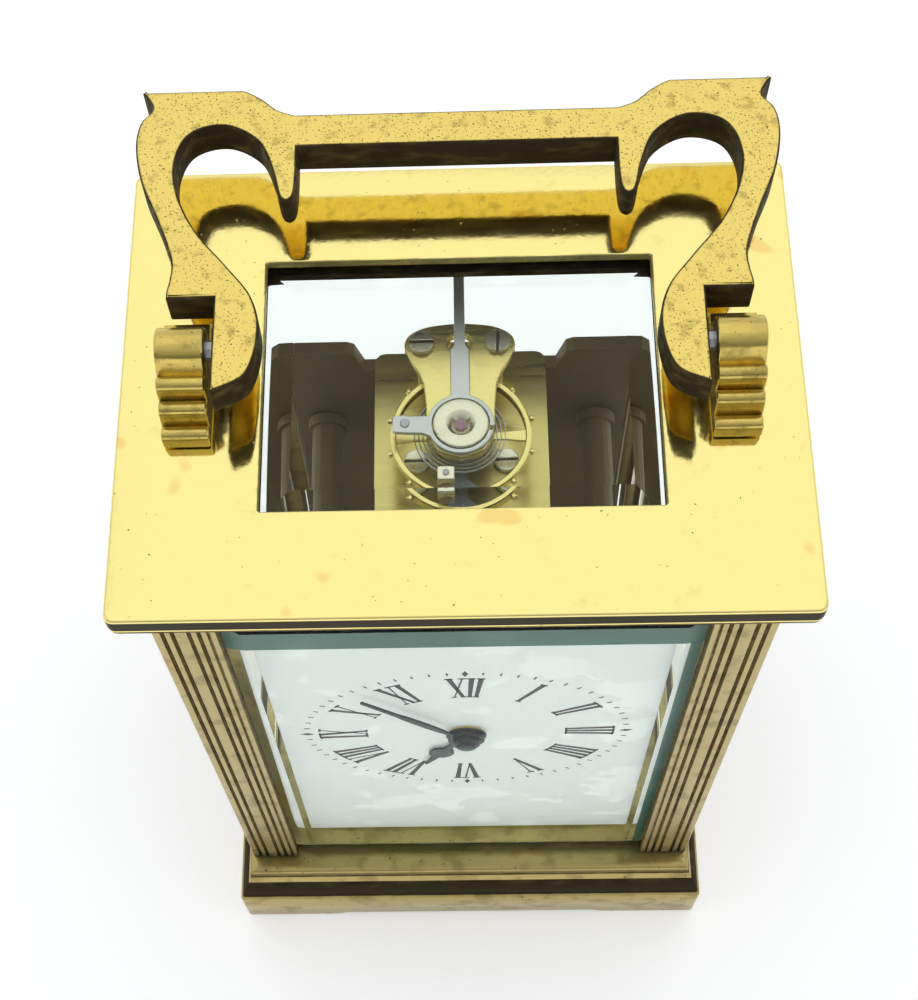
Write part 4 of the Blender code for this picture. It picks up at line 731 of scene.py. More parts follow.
def build_plinth(case):
    """Plinth: nested rounded rectangles that follow the moulding's section.

    The foot's underside is lifted between the corners by the arch times a smooth step of the distance
    from the nearest corner.
    """
    x, y, top, low = PLINTH_HIGH.x, PLINTH_HIGH.y, PLINTH_HIGH.z, PLINTH_LOW.z
    foot = case.foot_height
    floor_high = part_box("base_plate")[1]
    lip = 1.2 * MM
    ix, iy = x - POST_LOW.x + lip, y - POST_LOW.y + lip
    wx, wy = x - floor_high.x - 0.3 * MM, y - floor_high.y - 0.3 * MM
    bend = np.linspace(0, np.pi / 2, 8)
    # Each step's third value darkens it with tarnished metal and painted shade. The cove over the foot band
    # is darkest, painted shade that is strongest at its foot.
    section = [(0.35 * MM, low, 0.6, 1), (0.1 * MM, low + 0.1 * MM, 0.3, 1),
               (0.0, low + 0.35 * MM, 0.0, 1), (0.0, foot - 0.3 * MM, 0.0, 0),
               (0.08 * MM, foot - 0.08 * MM, 0.0, 0), (0.3 * MM, foot, 0.2, 0),
               (0.45 * MM, foot + 0.05 * MM, 1.0, 0)]
    rise = top - foot - 3.0 * MM
    section += [((0.5 + 1.5 * (1 - math.cos(a))) * MM, foot + 0.1 * MM + rise * math.sin(a), 1.0 - 0.2 * a, 0)
                for a in bend]
    ledge = case.ledge_inset
    section += [(ledge - out * MM, top - down * MM, shade, 0) for out, down, shade in (
        (1.1, 2.8, 0.6), (1.15, 2.65, 0.0), (0.95, 2.2, 0.0),
        (0.75, 1.8, 0.1), (0.7, 1.6, 0.8), (0.55, 1.4, 0.4))]
    nose = 0.5 * MM
    section += [(ledge - nose * math.cos(a), top - nose * (1 - math.sin(a)), 0.0, 0) for a in bend[::2]]
    step = case.front_step
    section = [(out, out * step, level, shade, lifts) for out, level, shade, lifts in section]
    section = ([(wx, wy, low, 0.5, 1)] + section
               + [(ledge + 0.6 * MM, ledge * step + 0.6 * MM, top, 0.1, 0), (ix, iy, top, 0.1, 0),
                  (ix, iy, floor_high.z + 0.1 * MM, 0.3, 0), (wx, wy, floor_high.z + 0.1 * MM, 0.5, 0)])
    rings, shades = [], []
    for out_x, out_y, level, shade, lifts in section:
        plan = rounded_rectangle(x - out_x, y - out_y, max(0.7 * MM - out_x, 0.15 * MM), 6, 44)
        away = (x - out_x - np.abs(plan[:, 0])) + (y - out_y - np.abs(plan[:, 1]))
        t = np.clip((away - case.foot_length) / (2.5 * MM), 0, 1)
        lift = lifts * case.foot_arch * t * t * (3 - 2 * t)
        rings.append(upright(plan, level + lift))
        shades.append(shade)
    add_piece("plinth_surface", skin(rings, shades, closed=True), "aged brass", "case",
              ["base_plinth"])


def reeded_face(case, length):
    """Depth of a post's face against the distance from its outer corner, as (distance, depth) points.

    Raised strips are shallow, depth = level + crown * (2t - 1)^2; between them lie pairs of fine grooves.
    """
    deep = case.reed_depth

    def strip(start, end, level=0.0, crown=0.05):
        t = np.linspace(0, 1, 7)
        return np.stack([start + (end - start) * t, level + crown * (2 * t - 1) ** 2], 1) * MM

    def groove(start, end):
        middle = (start + end) / 2
        across = np.array([start, middle - 0.06, middle, middle + 0.06, end]) * MM
        return np.stack([across, deep * np.array([1.0, 1.0, 0.35, 1.0, 1.0])], 1)

    end = length / MM
    return np.concatenate([
        strip(0.15, 1.0, crown=0.03), groove(1.06, 1.5), strip(1.56, 2.2), groove(2.26, 2.7),
        strip(2.76, 4.2, crown=0.07), groove(4.26, 4.7), strip(4.76, 5.4), groove(5.46, 5.9),
        strip(5.96, 6.6), groove(6.66, 6.92)[[0, 4]], strip(7.0, end - 0.12, 0.1, 0.03)])


def build_posts(case):
    """Corner posts: a reeded section with glass slots, drawn up between the plinth and the cornice."""
    s = POST_HIGH.x - POST_LOW.x
    near, far = case.glass_setback - 0.3 * MM, case.glass_setback + case.glass_thickness + 0.3 * MM
    depth = case.slot_depth
    reeds = reeded_face(case, s)
    for end, sy in (("front", -1), ("rear", 1)):
        down = np.stack([-reeds[:, 1], -reeds[:, 0]], 1)
        back = np.array([(-near, -s), (-near, -s + depth), (-far, -s + depth), (-far, -s), (-s, -s)])
        side = np.array([(-s, -far), (-s + depth, -far), (-s + depth, -near), (-s, -near)])
        across = np.stack([-reeds[:, 0], -reeds[:, 1]], 1)[::-1]
        parts = [down, back] + ([side] if end == "front" else []) + [across]
        plan = np.concatenate(parts)
        sunk = reeds[:, 1] > 0.4 * case.reed_depth
        hollow_tarnish_shade = np.concatenate([sunk, np.full(len(plan) - 2 * len(reeds), True), sunk[::-1]]).astype(float)
        for flank, sx in (("left", -1), ("right", 1)):
            loop = np.stack([sx * (POST_HIGH.x + plan[:, 0]), sy * (POST_HIGH.y + plan[:, 1])], 1)
            # Grooves and glass slots take the reed value, and the lowest 3 mm grow darker towards the foot:
            # tarnished metal and painted shade.
            shade = case.reed_tarnish_and_shade * hollow_tarnish_shade
            if anticlockwise(loop) is not loop:
                loop, shade = loop[::-1], shade[::-1]
            levels = np.linspace(POST_LOW.z, POST_HIGH.z, 12)
            ends = np.clip(1 - (levels - POST_LOW.z) / (3 * MM), 0, 0.7)
            tarnish_and_shade = np.clip(shade[None] + ends[:, None], 0, 1)
            shape = capped([upright(loop, z) for z in levels], tarnish_and_shade)
            cover(f"post_{end}_{flank}", shape, "aged brass", sharp=25.0)


def handle_outline(values):
    """The handle's outline in its own plane: across from the middle, up from the axis."""
    bar, width, side, ledge = values.bar_foot, values.bar_width, values.boss_side, values.ledge

    def curve(points, steps):
        return flowing(np.array(points) * MM, steps)

    hook = curve([(19.8, bar / MM), (19.8, 23.6), (20.0, 20.9), (20.5, 20.0), (21.2, 19.9), (21.9, 20.8),
                  (22.6, 24.0)], 5)[:-1]
    inside = curve([(22.6, 24.0), (24.6, 28.8), (28.8, 31.4), (33.2, 30.2), (34.9, 26.0), (34.3, 21.0),
                    (31.8, 15.6), (28.0, 10.7), (24.8, 6.2), (23.7, 1.2), (25.0, -4.6), (29.0, -6.9)], 12)
    step = np.array([(side, -6.8 * MM), (side, ledge), (34.9 * MM, ledge), (35.0 * MM, ledge + 0.1 * MM),
                     (35.0 * MM, ledge + 1.0 * MM)])
    outside = curve([(34.7, 8.6), (34.7, 11.6), (36.6, 17.2), (39.0, 23.2), (40.0, 28.6), (39.6, 32.2),
                     (38.2, 34.4), (39.6, 37.0)], 10)
    top = (bar + width) / MM
    shoulder = curve([(26.9, 37.0), (25.8, 36.5), (24.2, 35.4), (22.4, top + 0.9), (20.2, top)], 8)
    right = np.concatenate([hook, inside, step, outside, shoulder])
    left = right[::-1] * np.array([-1.0, 1.0])
    return np.concatenate([right, left])


def build_handle(values):
    """Handle folded to the back: its outline with rounded edges, and walls darkened with tarnished metal and
    painted shade.
    """
    shape = rounded_prism(handle_outline(values), HANDLE_LOW.z, HANDLE_HIGH.z, values.edge, wall=0.8)
    cover("handle", shape, "handle brass", "handle", 40.0)


def lug_profile(values):
    """Lug from the side: four rounded steps that rise to the axis, and a low back."""
    crest = LUG_HIGH.z - LUG_LOW.z - values.axis_height
    steps = [arc(centre * MM, (height - 1.0) * MM, 1.0 * MM, 180, 20, 10)
             for centre, height in ((-8.0, 2.4), (-6.0, 5.0), (-4.2, 7.6))]
    head = arc(0, values.axis_height, crest, 165, 0, 24)
    back = np.array([(crest, 4.6 * MM), (5.4 * MM, 4.6 * MM)])
    heel = arc(6.2 * MM, 1.6 * MM, 1.0 * MM, 90, 0, 8)
    toe, end = np.array([(-9.0, 0.0)]) * MM, np.array([(7.2, 0.0)]) * MM
    return np.concatenate([toe, *steps, head, back, heel, end])


def build_lugs(values):
    """Two stepped lugs, each the same profile drawn across, with rounded edges."""
    for flank in ("left", "right"):
        node = f"handle_lug_{flank}"
        low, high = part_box(node)
        # Walls and flat sides are darkened with tarnished metal and painted shade, the flat sides most.
        shape = rounded_prism(lug_profile(values), low.x, high.x, values.lug_edge, axis="X",
                              wall=0.22, face=0.65)
        cover(node, moved(shape, z=low.z), "lug brass", sharp=24.0)


def build_painted_pane_edges(case):
    """Painted green of the front glass's depth: thin strips behind its top edge and its right bevel, standing
    in for the green its thick edges show; the glass has no such band.
    """
    low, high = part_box("front_glass")
    half = POST_LOW.x
    y = high.y + 0.12 * MM
    top_z = high.z - case.painted_green_depth
    strips = []
    for x0, z0, x1, z1 in ((-half, top_z, half, high.z - 0.2 * MM),
                           (half - 1.7 * MM, low.z + 0.3 * MM, half - 0.1 * MM, top_z - 0.1 * MM)):
        plan = np.array([(x0, z0), (x1, z0), (x1, z1), (x0, z1)])
        strips.append(rounded_prism(plan, -y - 0.06 * MM, -y, 0.02 * MM, axis="Y"))
    add_piece("painted_pane_edge_green", joined(strips), "painted edge green", "case")


def build_door(values):
    """Rear door: the brass frame with softened edges and a turned knob on a collar."""
    soften("rear_door_frame", "aged brass", "rear_door", values.edge)
    r, length = (KNOB_HIGH.x - KNOB_LOW.x) / 2, KNOB_HIGH.y - KNOB_LOW.y
    profile = [(0.62, 0.0), (0.66, 0.04), (0.66, 0.10), (0.46, 0.14), (0.42, 0.26), (0.5, 0.36), (0.86, 0.44),
               (0.98, 0.52), (1.0, 0.60), (0.99, 0.72), (0.93, 0.84), (0.78, 0.94), (0.5, 0.99), (0.2, 1.0)]
    knob = lathe([(a * r, -length * b) for a, b in profile][::-1], 48, "Y")
    x, z = (KNOB_HIGH.x + KNOB_LOW.x) / 2, (KNOB_HIGH.z + KNOB_LOW.z) / 2
    cover("door_knob", moved(knob, x, KNOB_LOW.y, z), "handle brass", "rear_door")


# ---------------------------------------------------------------- dial and hands
def slab(corners, face, height):
    """Thin raised quads on the dial: an array of k x 4 plan corners becomes k closed boxes."""
    k = len(corners)
    plan = corners.reshape(-1, 2)
    low = upright(plan, -face, "Y").reshape(k, 4, 3)
    high = upright(plan, -face + height, "Y").reshape(k, 4, 3)
    points = np.concatenate([low, high], 1).reshape(-1, 3)
    box = np.array([(3, 2, 1, 0), (4, 5, 6, 7), (0, 1, 5, 4), (1, 2, 6, 5), (2, 3, 7, 6), (3, 0, 4, 7)])
    faces = (box[None] + 8 * np.arange(k)[:, None, None]).reshape(-1, 4).tolist()
    return points, faces, np.zeros(len(points))


def stroke(foot, top, width, low=0.0, high=1.0):
    """A bar from a foot at the numeral's base to a top at its head, as four (across, up) corners."""
    h = width / 2
    return [(foot - h, low), (foot + h, low), (top + h, high), (top - h, high)]


def numeral_strokes(text, thick, thin):
    """All strokes of a Roman numeral, side by side and centred; across is in metres, up is 0 to 1."""
    serif = 0.045
    width = {"I": 1.12 * MM, "V": 2.5 * MM, "X": 2.6 * MM}
    start = -sum(width[c] for c in text) / 2
    bars = []
    for letter in text:
        middle = start + width[letter] / 2
        half = width[letter] / 2 - 0.5 * MM
        if letter == "I":
            bars.append(stroke(middle, middle, thick))
            ends = [(middle, 0), (middle, 1)]
        elif letter == "V":
            bars.append(stroke(middle, middle - half, thick))
            bars.append(stroke(middle, middle + half, thin))
            ends = [(middle - half, 1), (middle + half, 1)]
        else:
            bars.append(stroke(middle + half, middle - half, thick))
            bars.append(stroke(middle - half, middle + half, thin))
            ends = [(middle - half, 0), (middle + half, 0), (middle - half, 1), (middle + half, 1)]
        for centre, end in ends:
            bars.append(stroke(centre, centre, 1.02 * MM, end - serif * end, end + serif * (1 - end)))
        start += width[letter]
    return np.array(bars)


def build_dial(values):
    """White dial with a raised print: twelve radial numerals, sixty dashes and four long diamonds.

    A numeral's strokes are bent round the dial: across becomes an angle, up becomes a radius.
    """
    face = DIAL_LOW.y
    half_w, half_h = (DIAL_HIGH.x - DIAL_LOW.x) / 2, (DIAL_HIGH.z - DIAL_LOW.z) / 2
    middle = (DIAL_HIGH.z + DIAL_LOW.z) / 2
    plan = rounded_rectangle(half_w, half_h, 0.4 * MM) + np.array([0.0, middle])
    hub = circle(2.6 * MM, 40, 0.0, HAND_AXIS_Z)
    parts = [rounded_prism(plan, -face - values.thickness, -face, 0.12 * MM, [hub], "Y")]
    for sx in (-1, 1):
        for sz in (-1, 1):
            foot = lathe([(1.0 * MM, -DIAL_HIGH.y), (1.0 * MM, -face - 0.5 * MM)], 20, "Y")
            parts.append(moved(foot, sx * 20 * MM, 0, HAND_AXIS_Z + sz * 30 * MM))
    add_piece("dial_surface", joined(parts), "white enamel", "case", ["dial_plate"])
    r = values.track
    inner, outer = values.numeral_inner * r, values.numeral_outer * r
    quads = []
    for hour, text in enumerate(("XII", "I", "II", "III", "IIII", "V", "VI", "VII", "VIII", "IX", "X", "XI")):
        bars = numeral_strokes(text, values.thick, values.thin)
        radius = inner + bars[..., 1] * (outer - inner)
        angle = np.pi / 2 - math.tau * hour / 12 - bars[..., 0] / ((inner + outer) / 2)
        quads.append(np.stack([radius * np.cos(angle), radius * np.sin(angle)], -1)[:, ::-1])
    minute = np.pi / 2 - math.tau * np.arange(60) / 60
    quarter = np.arange(60) % 15 == 0
    long = np.where(quarter, 1.05 * MM, 0.42 * MM)[:, None]
    wide = np.where(quarter, 0.45 * MM, 0.13 * MM)[:, None]
    dash = np.array([(-1, -1), (1, -1), (1, 1), (-1, 1)], float)
    diamond = np.array([(0, -1), (1, 0), (0, 1), (-1, 0)], float)
    shape = np.where(quarter[:, None, None], diamond, dash)
    along = r + shape[..., 1] * long
    across = shape[..., 0] * wide
    c, s = np.cos(minute)[:, None], np.sin(minute)[:, None]
    quads.append(np.stack([along * c + across * s, along * s - across * c], -1)[:, ::-1])
    print_shape = slab(np.concatenate(quads)[:, ::-1] + np.array([0.0, HAND_AXIS_Z]), face, values.ink)
    add_piece("dial_print", print_shape, "black ink", "case")


def hand_outline(length, boss, waist, swell, swell_at, swell_long, tip):
    """Hand along +Y: a round boss, a slim shaft, one swelling and a rounded tip."""
    a = np.linspace(0.12, np.pi - 0.12, 18)
    right = np.concatenate([
        arc(0, 0, boss, -90, 74, 24), [(waist, boss * 1.2)],
        np.stack([waist + (swell - waist) * np.sin(a), swell_at - swell_long * np.cos(a)], 1),
        [(tip, length - 2 * tip)], arc(0, length - tip, tip, 0, 90, 6)])
    left = right[-2:0:-1] * np.array([-1.0, 1.0])
    return np.concatenate([right, left])


def build_hands(values):
    """Dark hands with rounded edges, each turned to its hour, and the domed nut that holds them."""
    hour_turn = -math.tau * (values.hours + values.minutes / 60) / 12
    minute_turn = -math.tau * values.minutes / 60
    hour = hand_outline(values.hour_length, 3.0 * MM, 0.42 * MM, 1.9 * MM, 8.6 * MM, 1.9 * MM, 0.3 * MM)
    minute = hand_outline(values.minute_length, 2.7 * MM, 0.34 * MM, 0.62 * MM, 9.5 * MM, 4.8 * MM, 0.28 * MM)
    for name, outline, turn, hole in (("hour_hand", hour, hour_turn, 2.35 * MM),
                                      ("minute_hand", minute, minute_turn, 1.55 * MM)):
        low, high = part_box(name)
        shape = rounded_prism(outline, -high.y, -low.y, 0.09 * MM, [circle(hole, 32)], "Y")
        cover(name, moved(turned(shape, -turn, "Y"), z=HAND_AXIS_Z), "blued steel", name)
    r, height = (COLLET_HIGH.x - COLLET_LOW.x) / 2, COLLET_HIGH.y - COLLET_LOW.y
    profile = [(1.0, 0.0), (1.0, 0.32), (0.96, 0.40), (0.80, 0.46), (0.76, 0.62), (0.70, 0.78), (0.56, 0.92),
               (0.34, 0.99), (0.1, 1.0)]
    nut = lathe([(a * r, b * height) for a, b in profile], 40, "Y")
    cover("hand_collet", moved(nut, y=COLLET_HIGH.y, z=HAND_AXIS_Z), "blued steel",
          "minute_hand")


# ---------------------------------------------------------------- platform escapement
def cock_outline(values):
    """Balance cock in plan: a wide rounded head at the back and an arm that tapers to the balance."""
    w, back = values.cock_width / 2 / MM, PLATFORM_HIGH.y / MM
    head = flowing(np.array([(0, back), (4.2, back - 0.5), (w - 0.7, back - 1.7), (w, back - 3.4),
                             (w - 0.7, back - 5.4), (w - 1.8, back - 7.2)]) * MM, 10)
    arm = flowing(np.array([(4.8, 6.6), (4.5, 3.4), (4.3, 0.0), (3.0, -3.2), (0, -4.4)]) * MM, 10)
    right = np.concatenate([head, arm])
    return np.concatenate([right, right[-2:0:-1] * np.array([-1.0, 1.0])])


def build_cock(values):
    """Balance cock, its foot, the two stamped marks on it and its screws."""
    top, low = COCK_HIGH.z, COCK_HIGH.z - 1.3 * MM
    screw_low, screw_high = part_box("cock_screw_right")
    screw_x, screw_y = (screw_low.x + screw_high.x) / 2, (screw_low.y + screw_high.y) / 2
    hole = circle(1.66 * MM, 36, 0.0, screw_y)
    # Its walls are a little darker: tarnished metal and painted shade.
    arm = rounded_prism(cock_outline(values), low, top, values.edge, [hole], wall=0.15)
    half = values.cock_width / 2 - 1.6 * MM
    foot_y = PLATFORM_HIGH.y - 4.15 * MM
    foot_plan = rounded_rectangle(half, PLATFORM_HIGH.y - 2.2 * MM - foot_y, 0.4 * MM)
    foot = rounded_prism(foot_plan + np.array([0.0, foot_y]), PLATFORM_HIGH.z + 0.05 * MM, low + 0.2 * MM,
                         values.edge)
    cover("balance_cock", joined([arm, foot]), "movement brass")
    build_cock_marks(top)
    for flank, sx, turn in (("left", -1, 0.0), ("right", 1, math.radians(88))):
        low_box, high_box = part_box(f"platform_screw_{flank}")
        x, y = (low_box.x + high_box.x) / 2, (low_box.y + high_box.y) / 2
        for node, look, spot, angle in (
                (f"cock_screw_{flank}", "screw metal", (sx * screw_x, screw_y, top + 0.02 * MM), turn),
                (f"platform_screw_{flank}", "pale nickel", (x, y, PLATFORM_HIGH.z + 0.02 * MM), 0.02)):
            head = slotted_head(values.screw_radius, 0.85 * MM, values.slot_width, 0.12 * MM, angle)
            cover(node, moved(head, *spot), look)


def build_cock_marks(top):
    """Outlined plus and minus on the cock: thin prisms with the same outline cut out inside them, in a paler
    brass that is a painted highlight.
    """
    reach, half, rim, lift = 0.95 * MM, 0.24 * MM, 0.09 * MM, 0.05 * MM
    a, b = reach, half
    plus = anticlockwise(np.array([(b, b), (a, b), (a, -b), (b, -b), (b, -a), (-b, -a), (-b, -b), (-a, -b),
                                   (-a, b), (-b, b), (-b, a), (b, a)]))
    minus = rounded_rectangle(reach, half, 0.05 * MM, 3, 2)
    marks = []
    for outline, spot in ((plus, (-2.8 * MM, 9.1 * MM)), (minus, (2.8 * MM, 9.3 * MM))):
        cut = inset(outline, rim) + spot
        marks.append(rounded_prism(outline + spot, top - lift, top + lift, 0.03 * MM, [cut]))
    add_piece("cock_marks", joined(marks), "mark brass with painted highlight", "case")


def index_outline():
    """Regulator index: an open ring with a slit, a long pointer to the back and a curb arm to the left."""
    r, hole = 4.3 * MM, 3.72 * MM
    neck, slim, reach = 1.25 * MM, 0.72 * MM, INDEX_HIGH.y
    start = math.degrees(math.asin(neck / r))
    shoulder, taper = 11.0 * MM, 11.8 * MM
    pointer = np.array([(neck, shoulder), (slim, taper), (slim, reach), (-slim, reach), (-slim, taper),
                        (-neck, shoulder)])
    arm = np.array([(-6.6, 1.15), (-7.6, 1.35), (-8.5, 1.3), (-8.8, 0.95), (-8.8, -0.85), (-8.5, -1.1),
                    (-6.9, -1.25), (-5.0, -1.3)]) * MM
    return np.concatenate([arc(0, 0, r, -6, 90 - start, 24), pointer, arc(0, 0, r, 90 + start, 164, 18), arm,
                           arc(0, 0, r, 204, 346, 36), arc(0, 0, hole, 346, -6, 72)])


def build_index():
    """Regulator index with its curb screw, and the end cap with its polished cup and jewel."""
    low, high = INDEX_LOW.z, INDEX_HIGH.z
    # Its walls are a little darker: tarnished metal and painted shade.
    index = rounded_prism(index_outline(), low, high, 0.1 * MM, wall=0.1)
    cover("regulator_index", index, "nickel", "regulator")
    curb = lathe([(r * MM, high + z * MM) for r, z in ((0.62, -0.1), (0.62, 0.12), (0.5, 0.2))], 24)
    add_piece("curb_pin_screw", moved(curb, -7.2 * MM, 0.1 * MM), "steel", "regulator")
    r, top, bottom = (CAP_HIGH.x - CAP_LOW.x) / 2, CAP_HIGH.z, CAP_LOW.z
    cap = [(r, bottom), (r, top - 0.25 * MM), (r - 0.1 * MM, top - 0.08 * MM), (r - 0.3 * MM, top),
           (1.95 * MM, top), (1.85 * MM, top - 0.03 * MM), (0.85 * MM, bottom + 0.28 * MM),
           (0.8 * MM, bottom + 0.2 * MM)]
    cover("end_cap", lathe(cap, 64), "pale nickel")
    stone = [(radius * MM, bottom + rise * MM)
             for radius, rise in ((0.78, 0.18), (0.78, 0.30), (0.5, 0.36), (0.1, 0.38))]
    add_piece("end_stone", lathe(stone, 32), "ruby", "case")


def build_balance(values):
    """Balance: a rounded rim, a waisted arm, a hub and a ring of small timing screws."""
    spring_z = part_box("hairspring")[0].z
    r, low, high = BALANCE_HIGH.x, spring_z - 0.95 * MM, spring_z + 0.35 * MM
    w, e = 0.75 * MM, 0.12 * MM
    rim = [(r - e, low), (r, low + e), (r, high - e), (r - e, high), (r - w + e, high), (r - w, high - e),
           (r - w, low + e), (r - w + e, low)]
    arm = np.array([(-r + 0.3 * MM, 0.9 * MM), (-r * 0.6, 0.55 * MM), (-1.6 * MM, 0.6 * MM),
                    (-1.2 * MM, 1.5 * MM), (0, 1.9 * MM), (1.2 * MM, 1.5 * MM), (1.6 * MM, 0.6 * MM),
                    (r * 0.6, 0.55 * MM), (r - 0.3 * MM, 0.9 * MM)])
    arm = np.concatenate([arm, arm[::-1] * np.array([1.0, -1.0])])
    spoke = rounded_prism(arm, low + 0.2 * MM, low + 0.7 * MM, 0.1 * MM)
    hub = lathe([(0.5 * MM, PLATFORM_HIGH.z + 0.3 * MM), (0.5 * MM, low), (1.0 * MM, low + 0.1 * MM),
                 (1.0 * MM, high - 0.1 * MM), (0.5 * MM, high), (0.3 * MM, COCK_HIGH.z - 0.5 * MM)], 24)
    screws = []
    for i in range(values.timing_screws):
        angle = math.tau * (i + 0.5) / values.timing_screws
        head = lathe([(0.2 * MM, 0.0), (0.2 * MM, 0.15 * MM), (0.42 * MM, 0.2 * MM), (0.42 * MM, 0.62 * MM),
                      (0.34 * MM, 0.7 * MM)], 12, "X")
        head = moved(head, r - 0.05 * MM, 0, (low + high) / 2)
        screws.append(turned(head, angle))
    cover("balance_wheel", joined([ring_solid(rim, 96), spoke, hub] + screws), "movement brass",
          "balance")


def build_spring(values):
    """Flat spring: a thin ribbon whose radius grows evenly with the angle, and the stud at its end."""
    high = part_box("hairspring")[1]
    turns, inner, outer = values.spring_turns, 1.25 * MM, values.spring_outer
    a = np.linspace(0, math.tau * turns, int(44 * turns)) + math.radians(-105) - math.tau * turns
    radius = np.linspace(inner, outer, len(a))
    half = 0.05 * MM
    z0, z1 = high.z - 0.42 * MM, high.z
    corners = [(radius - half, z0), (radius + half, z0), (radius + half, z1), (radius - half, z1)]
    rings = np.stack([np.stack([r * np.cos(a), r * np.sin(a), np.full(len(a), z)], 1) for r, z in corners], 1)
    cover("hairspring", capped(rings[::-1], np.zeros(len(rings))), "steel")
    x, y = -2.0 * MM, -6.7 * MM
    plan = rounded_rectangle(1.1 * MM, 0.95 * MM, 0.12 * MM, 3, 2) + np.array([x, y])
    stud = rounded_prism(plan, z0 - 0.3 * MM, COCK_HIGH.z + 0.25 * MM, 0.12 * MM)
    pin = lathe([(0.42 * MM, 0.0), (0.42 * MM, 0.2 * MM), (0.3 * MM, 0.28 * MM)], 20)
    add_piece("spring_stud", stud, "pale nickel", "case")
    add_piece("spring_stud_screw", moved(pin, x, y, COCK_HIGH.z + 0.2 * MM), "steel", "case")


def build_movement(values):
    """Movement plates and platform with softened edges, and the slotted screws of the pillars."""
    for node, look in (("movement_front_plate", "shaded plate brass"), ("movement_back_plate", "shaded brass"),
                       ("platform_plate", "shaded platform brass"), ("barrel", "movement brass"),
                       ("barrel_cover", "movement brass")):
        soften(node, look, "barrel" if node.startswith("barrel") else "case", values.edge)
    screws = []
    for pillar in LOOKS["shaded brass"]:
        low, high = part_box(pillar)
        head = slotted_head(2.3 * MM, 1.0 * MM, 0.45 * MM, 0.15 * MM, 0.6 + 9.0 * low.x / MM)
        head = turned(head, math.radians(-90), "X")
        x, z = (low.x + high.x) / 2, (low.z + high.z) / 2
        screws.append(moved(head, x, BACK_HIGH.y + 0.02 * MM, z))
    add_piece("pillar_screws", joined(screws), "blued steel", "case")


LOOKS = {
    "aged brass": ("base_plate",),
    "clear glass": ("top_glass", "front_glass", "side_glass_left", "side_glass_right", "rear_door_glass"),
    "steel": ("door_pin_top", "door_pin_bottom", "handle_pin_left", "handle_pin_right", "cannon_pinion",
              "minute_wheel_stud", "click", "click_screw", "barrel_arbor", "ratchet_wheel", "escape_wheel",
              "pallet_lever", "mainspring"),
    "shaded brass": ("pillar_low_left", "pillar_low_right", "pillar_high_left", "pillar_high_right"),
    "movement brass": ("hour_wheel", "minute_wheel", "contrate_wheel", "third_wheel", "centre_wheel",
                       "intermediate_wheel"),
}


def dress_frame():
    """Finishes for the frame pieces that stay as they are."""
    for look, nodes in LOOKS.items():
        for node in nodes:
            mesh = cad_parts[node].data
            mesh.materials.clear()
            mesh.materials.append(bpy.data.materials[look])


# ---------------------------------------------------------------- stage
def build_floor(values):
    """Round floor that curves up at its far rim: height = rise * (share of the outer third) squared."""
    finish = Finish("floor")
    cloud = finish.noise(8, 2.0)
    tint = tuple(values.floor)
    finish.set(base_color=finish.mix(cloud, tint, scaled(tint, 0.985)), roughness=0.85, metallic=0.0)
    finish.shader.inputs["Emission Color"].default_value = (1.0, 1.0, 1.0, 1.0)
    finish.shader.inputs["Emission Strength"].default_value = values.floor_glow
    reach, rise, around = 3.0, 0.9, 96
    radius = np.linspace(0.02, reach, 40)
    share_out = np.clip((radius / reach - 0.66) / 0.34, 0, 1)
    rings = [upright(circle(r, around), rise * s ** 2) for r, s in zip(radius, share_out)]
    points, faces, _ = skin(rings, np.zeros(len(rings)))
    faces.append(list(range(around)))
    mesh = bpy.data.meshes.new("floor")
    mesh.from_pydata(points.tolist(), [], [f[::-1] if len(f) == 4 else f for f in faces])
    mesh.shade_smooth()
    mesh.materials.append(finish.material)
    floor = bpy.data.objects.new("floor", mesh)
    bpy.context.scene.collection.objects.link(floor)
    floor.location.z = PLINTH_LOW.z - 0.2 * MM


def build_surroundings(values):
    """Pale world: what the clock mirrors is bright overhead and behind it, and dimmer low in front."""
    world = bpy.data.worlds.new("surroundings")
    world.use_nodes = True
    sky = Nodes(world.node_tree)
    place = sky.node("ShaderNodeTexCoord", output="Generated")
    parts = sky.node("ShaderNodeSeparateXYZ", {}, {0: place}).socket.node
    behind, up = (Channel(sky, parts.outputs[axis]) for axis in "YZ")
    ramp = sky.node("ShaderNodeMapRange", {}, {"Value": behind * 0.6 + up, "From Min": -0.2, "From Max": 0.9,
                                               "To Min": 0.22, "To Max": 1.12})
    seen = sky.node("ShaderNodeLightPath", output="Is Camera Ray")
    glow = sky.node("ShaderNodeMix", {}, {0: seen, 2: ramp, 3: 1.35})
    background = sky.tree.nodes["Background"]
    sky.feed(background.inputs["Color"], (0.97, 0.985, 1.0))
    sky.feed(background.inputs["Strength"], glow * values.sky)
    bpy.context.scene.world = world


def add_softbox(name, place, target, width, power, tint):
    """Square area light that faces a target."""
    light = bpy.data.lights.new(name, "AREA")
    light.shape = "SQUARE"
    light.size = width
    light.energy = power
    light.color = tint
    lamp = bpy.data.objects.new(name, light)
    bpy.context.scene.collection.objects.link(lamp)
    lamp.location = place
    aim = np.asarray(target) - np.asarray(place)
    lamp.rotation_euler = Vector(aim).to_track_quat("-Z", "Y").to_euler()


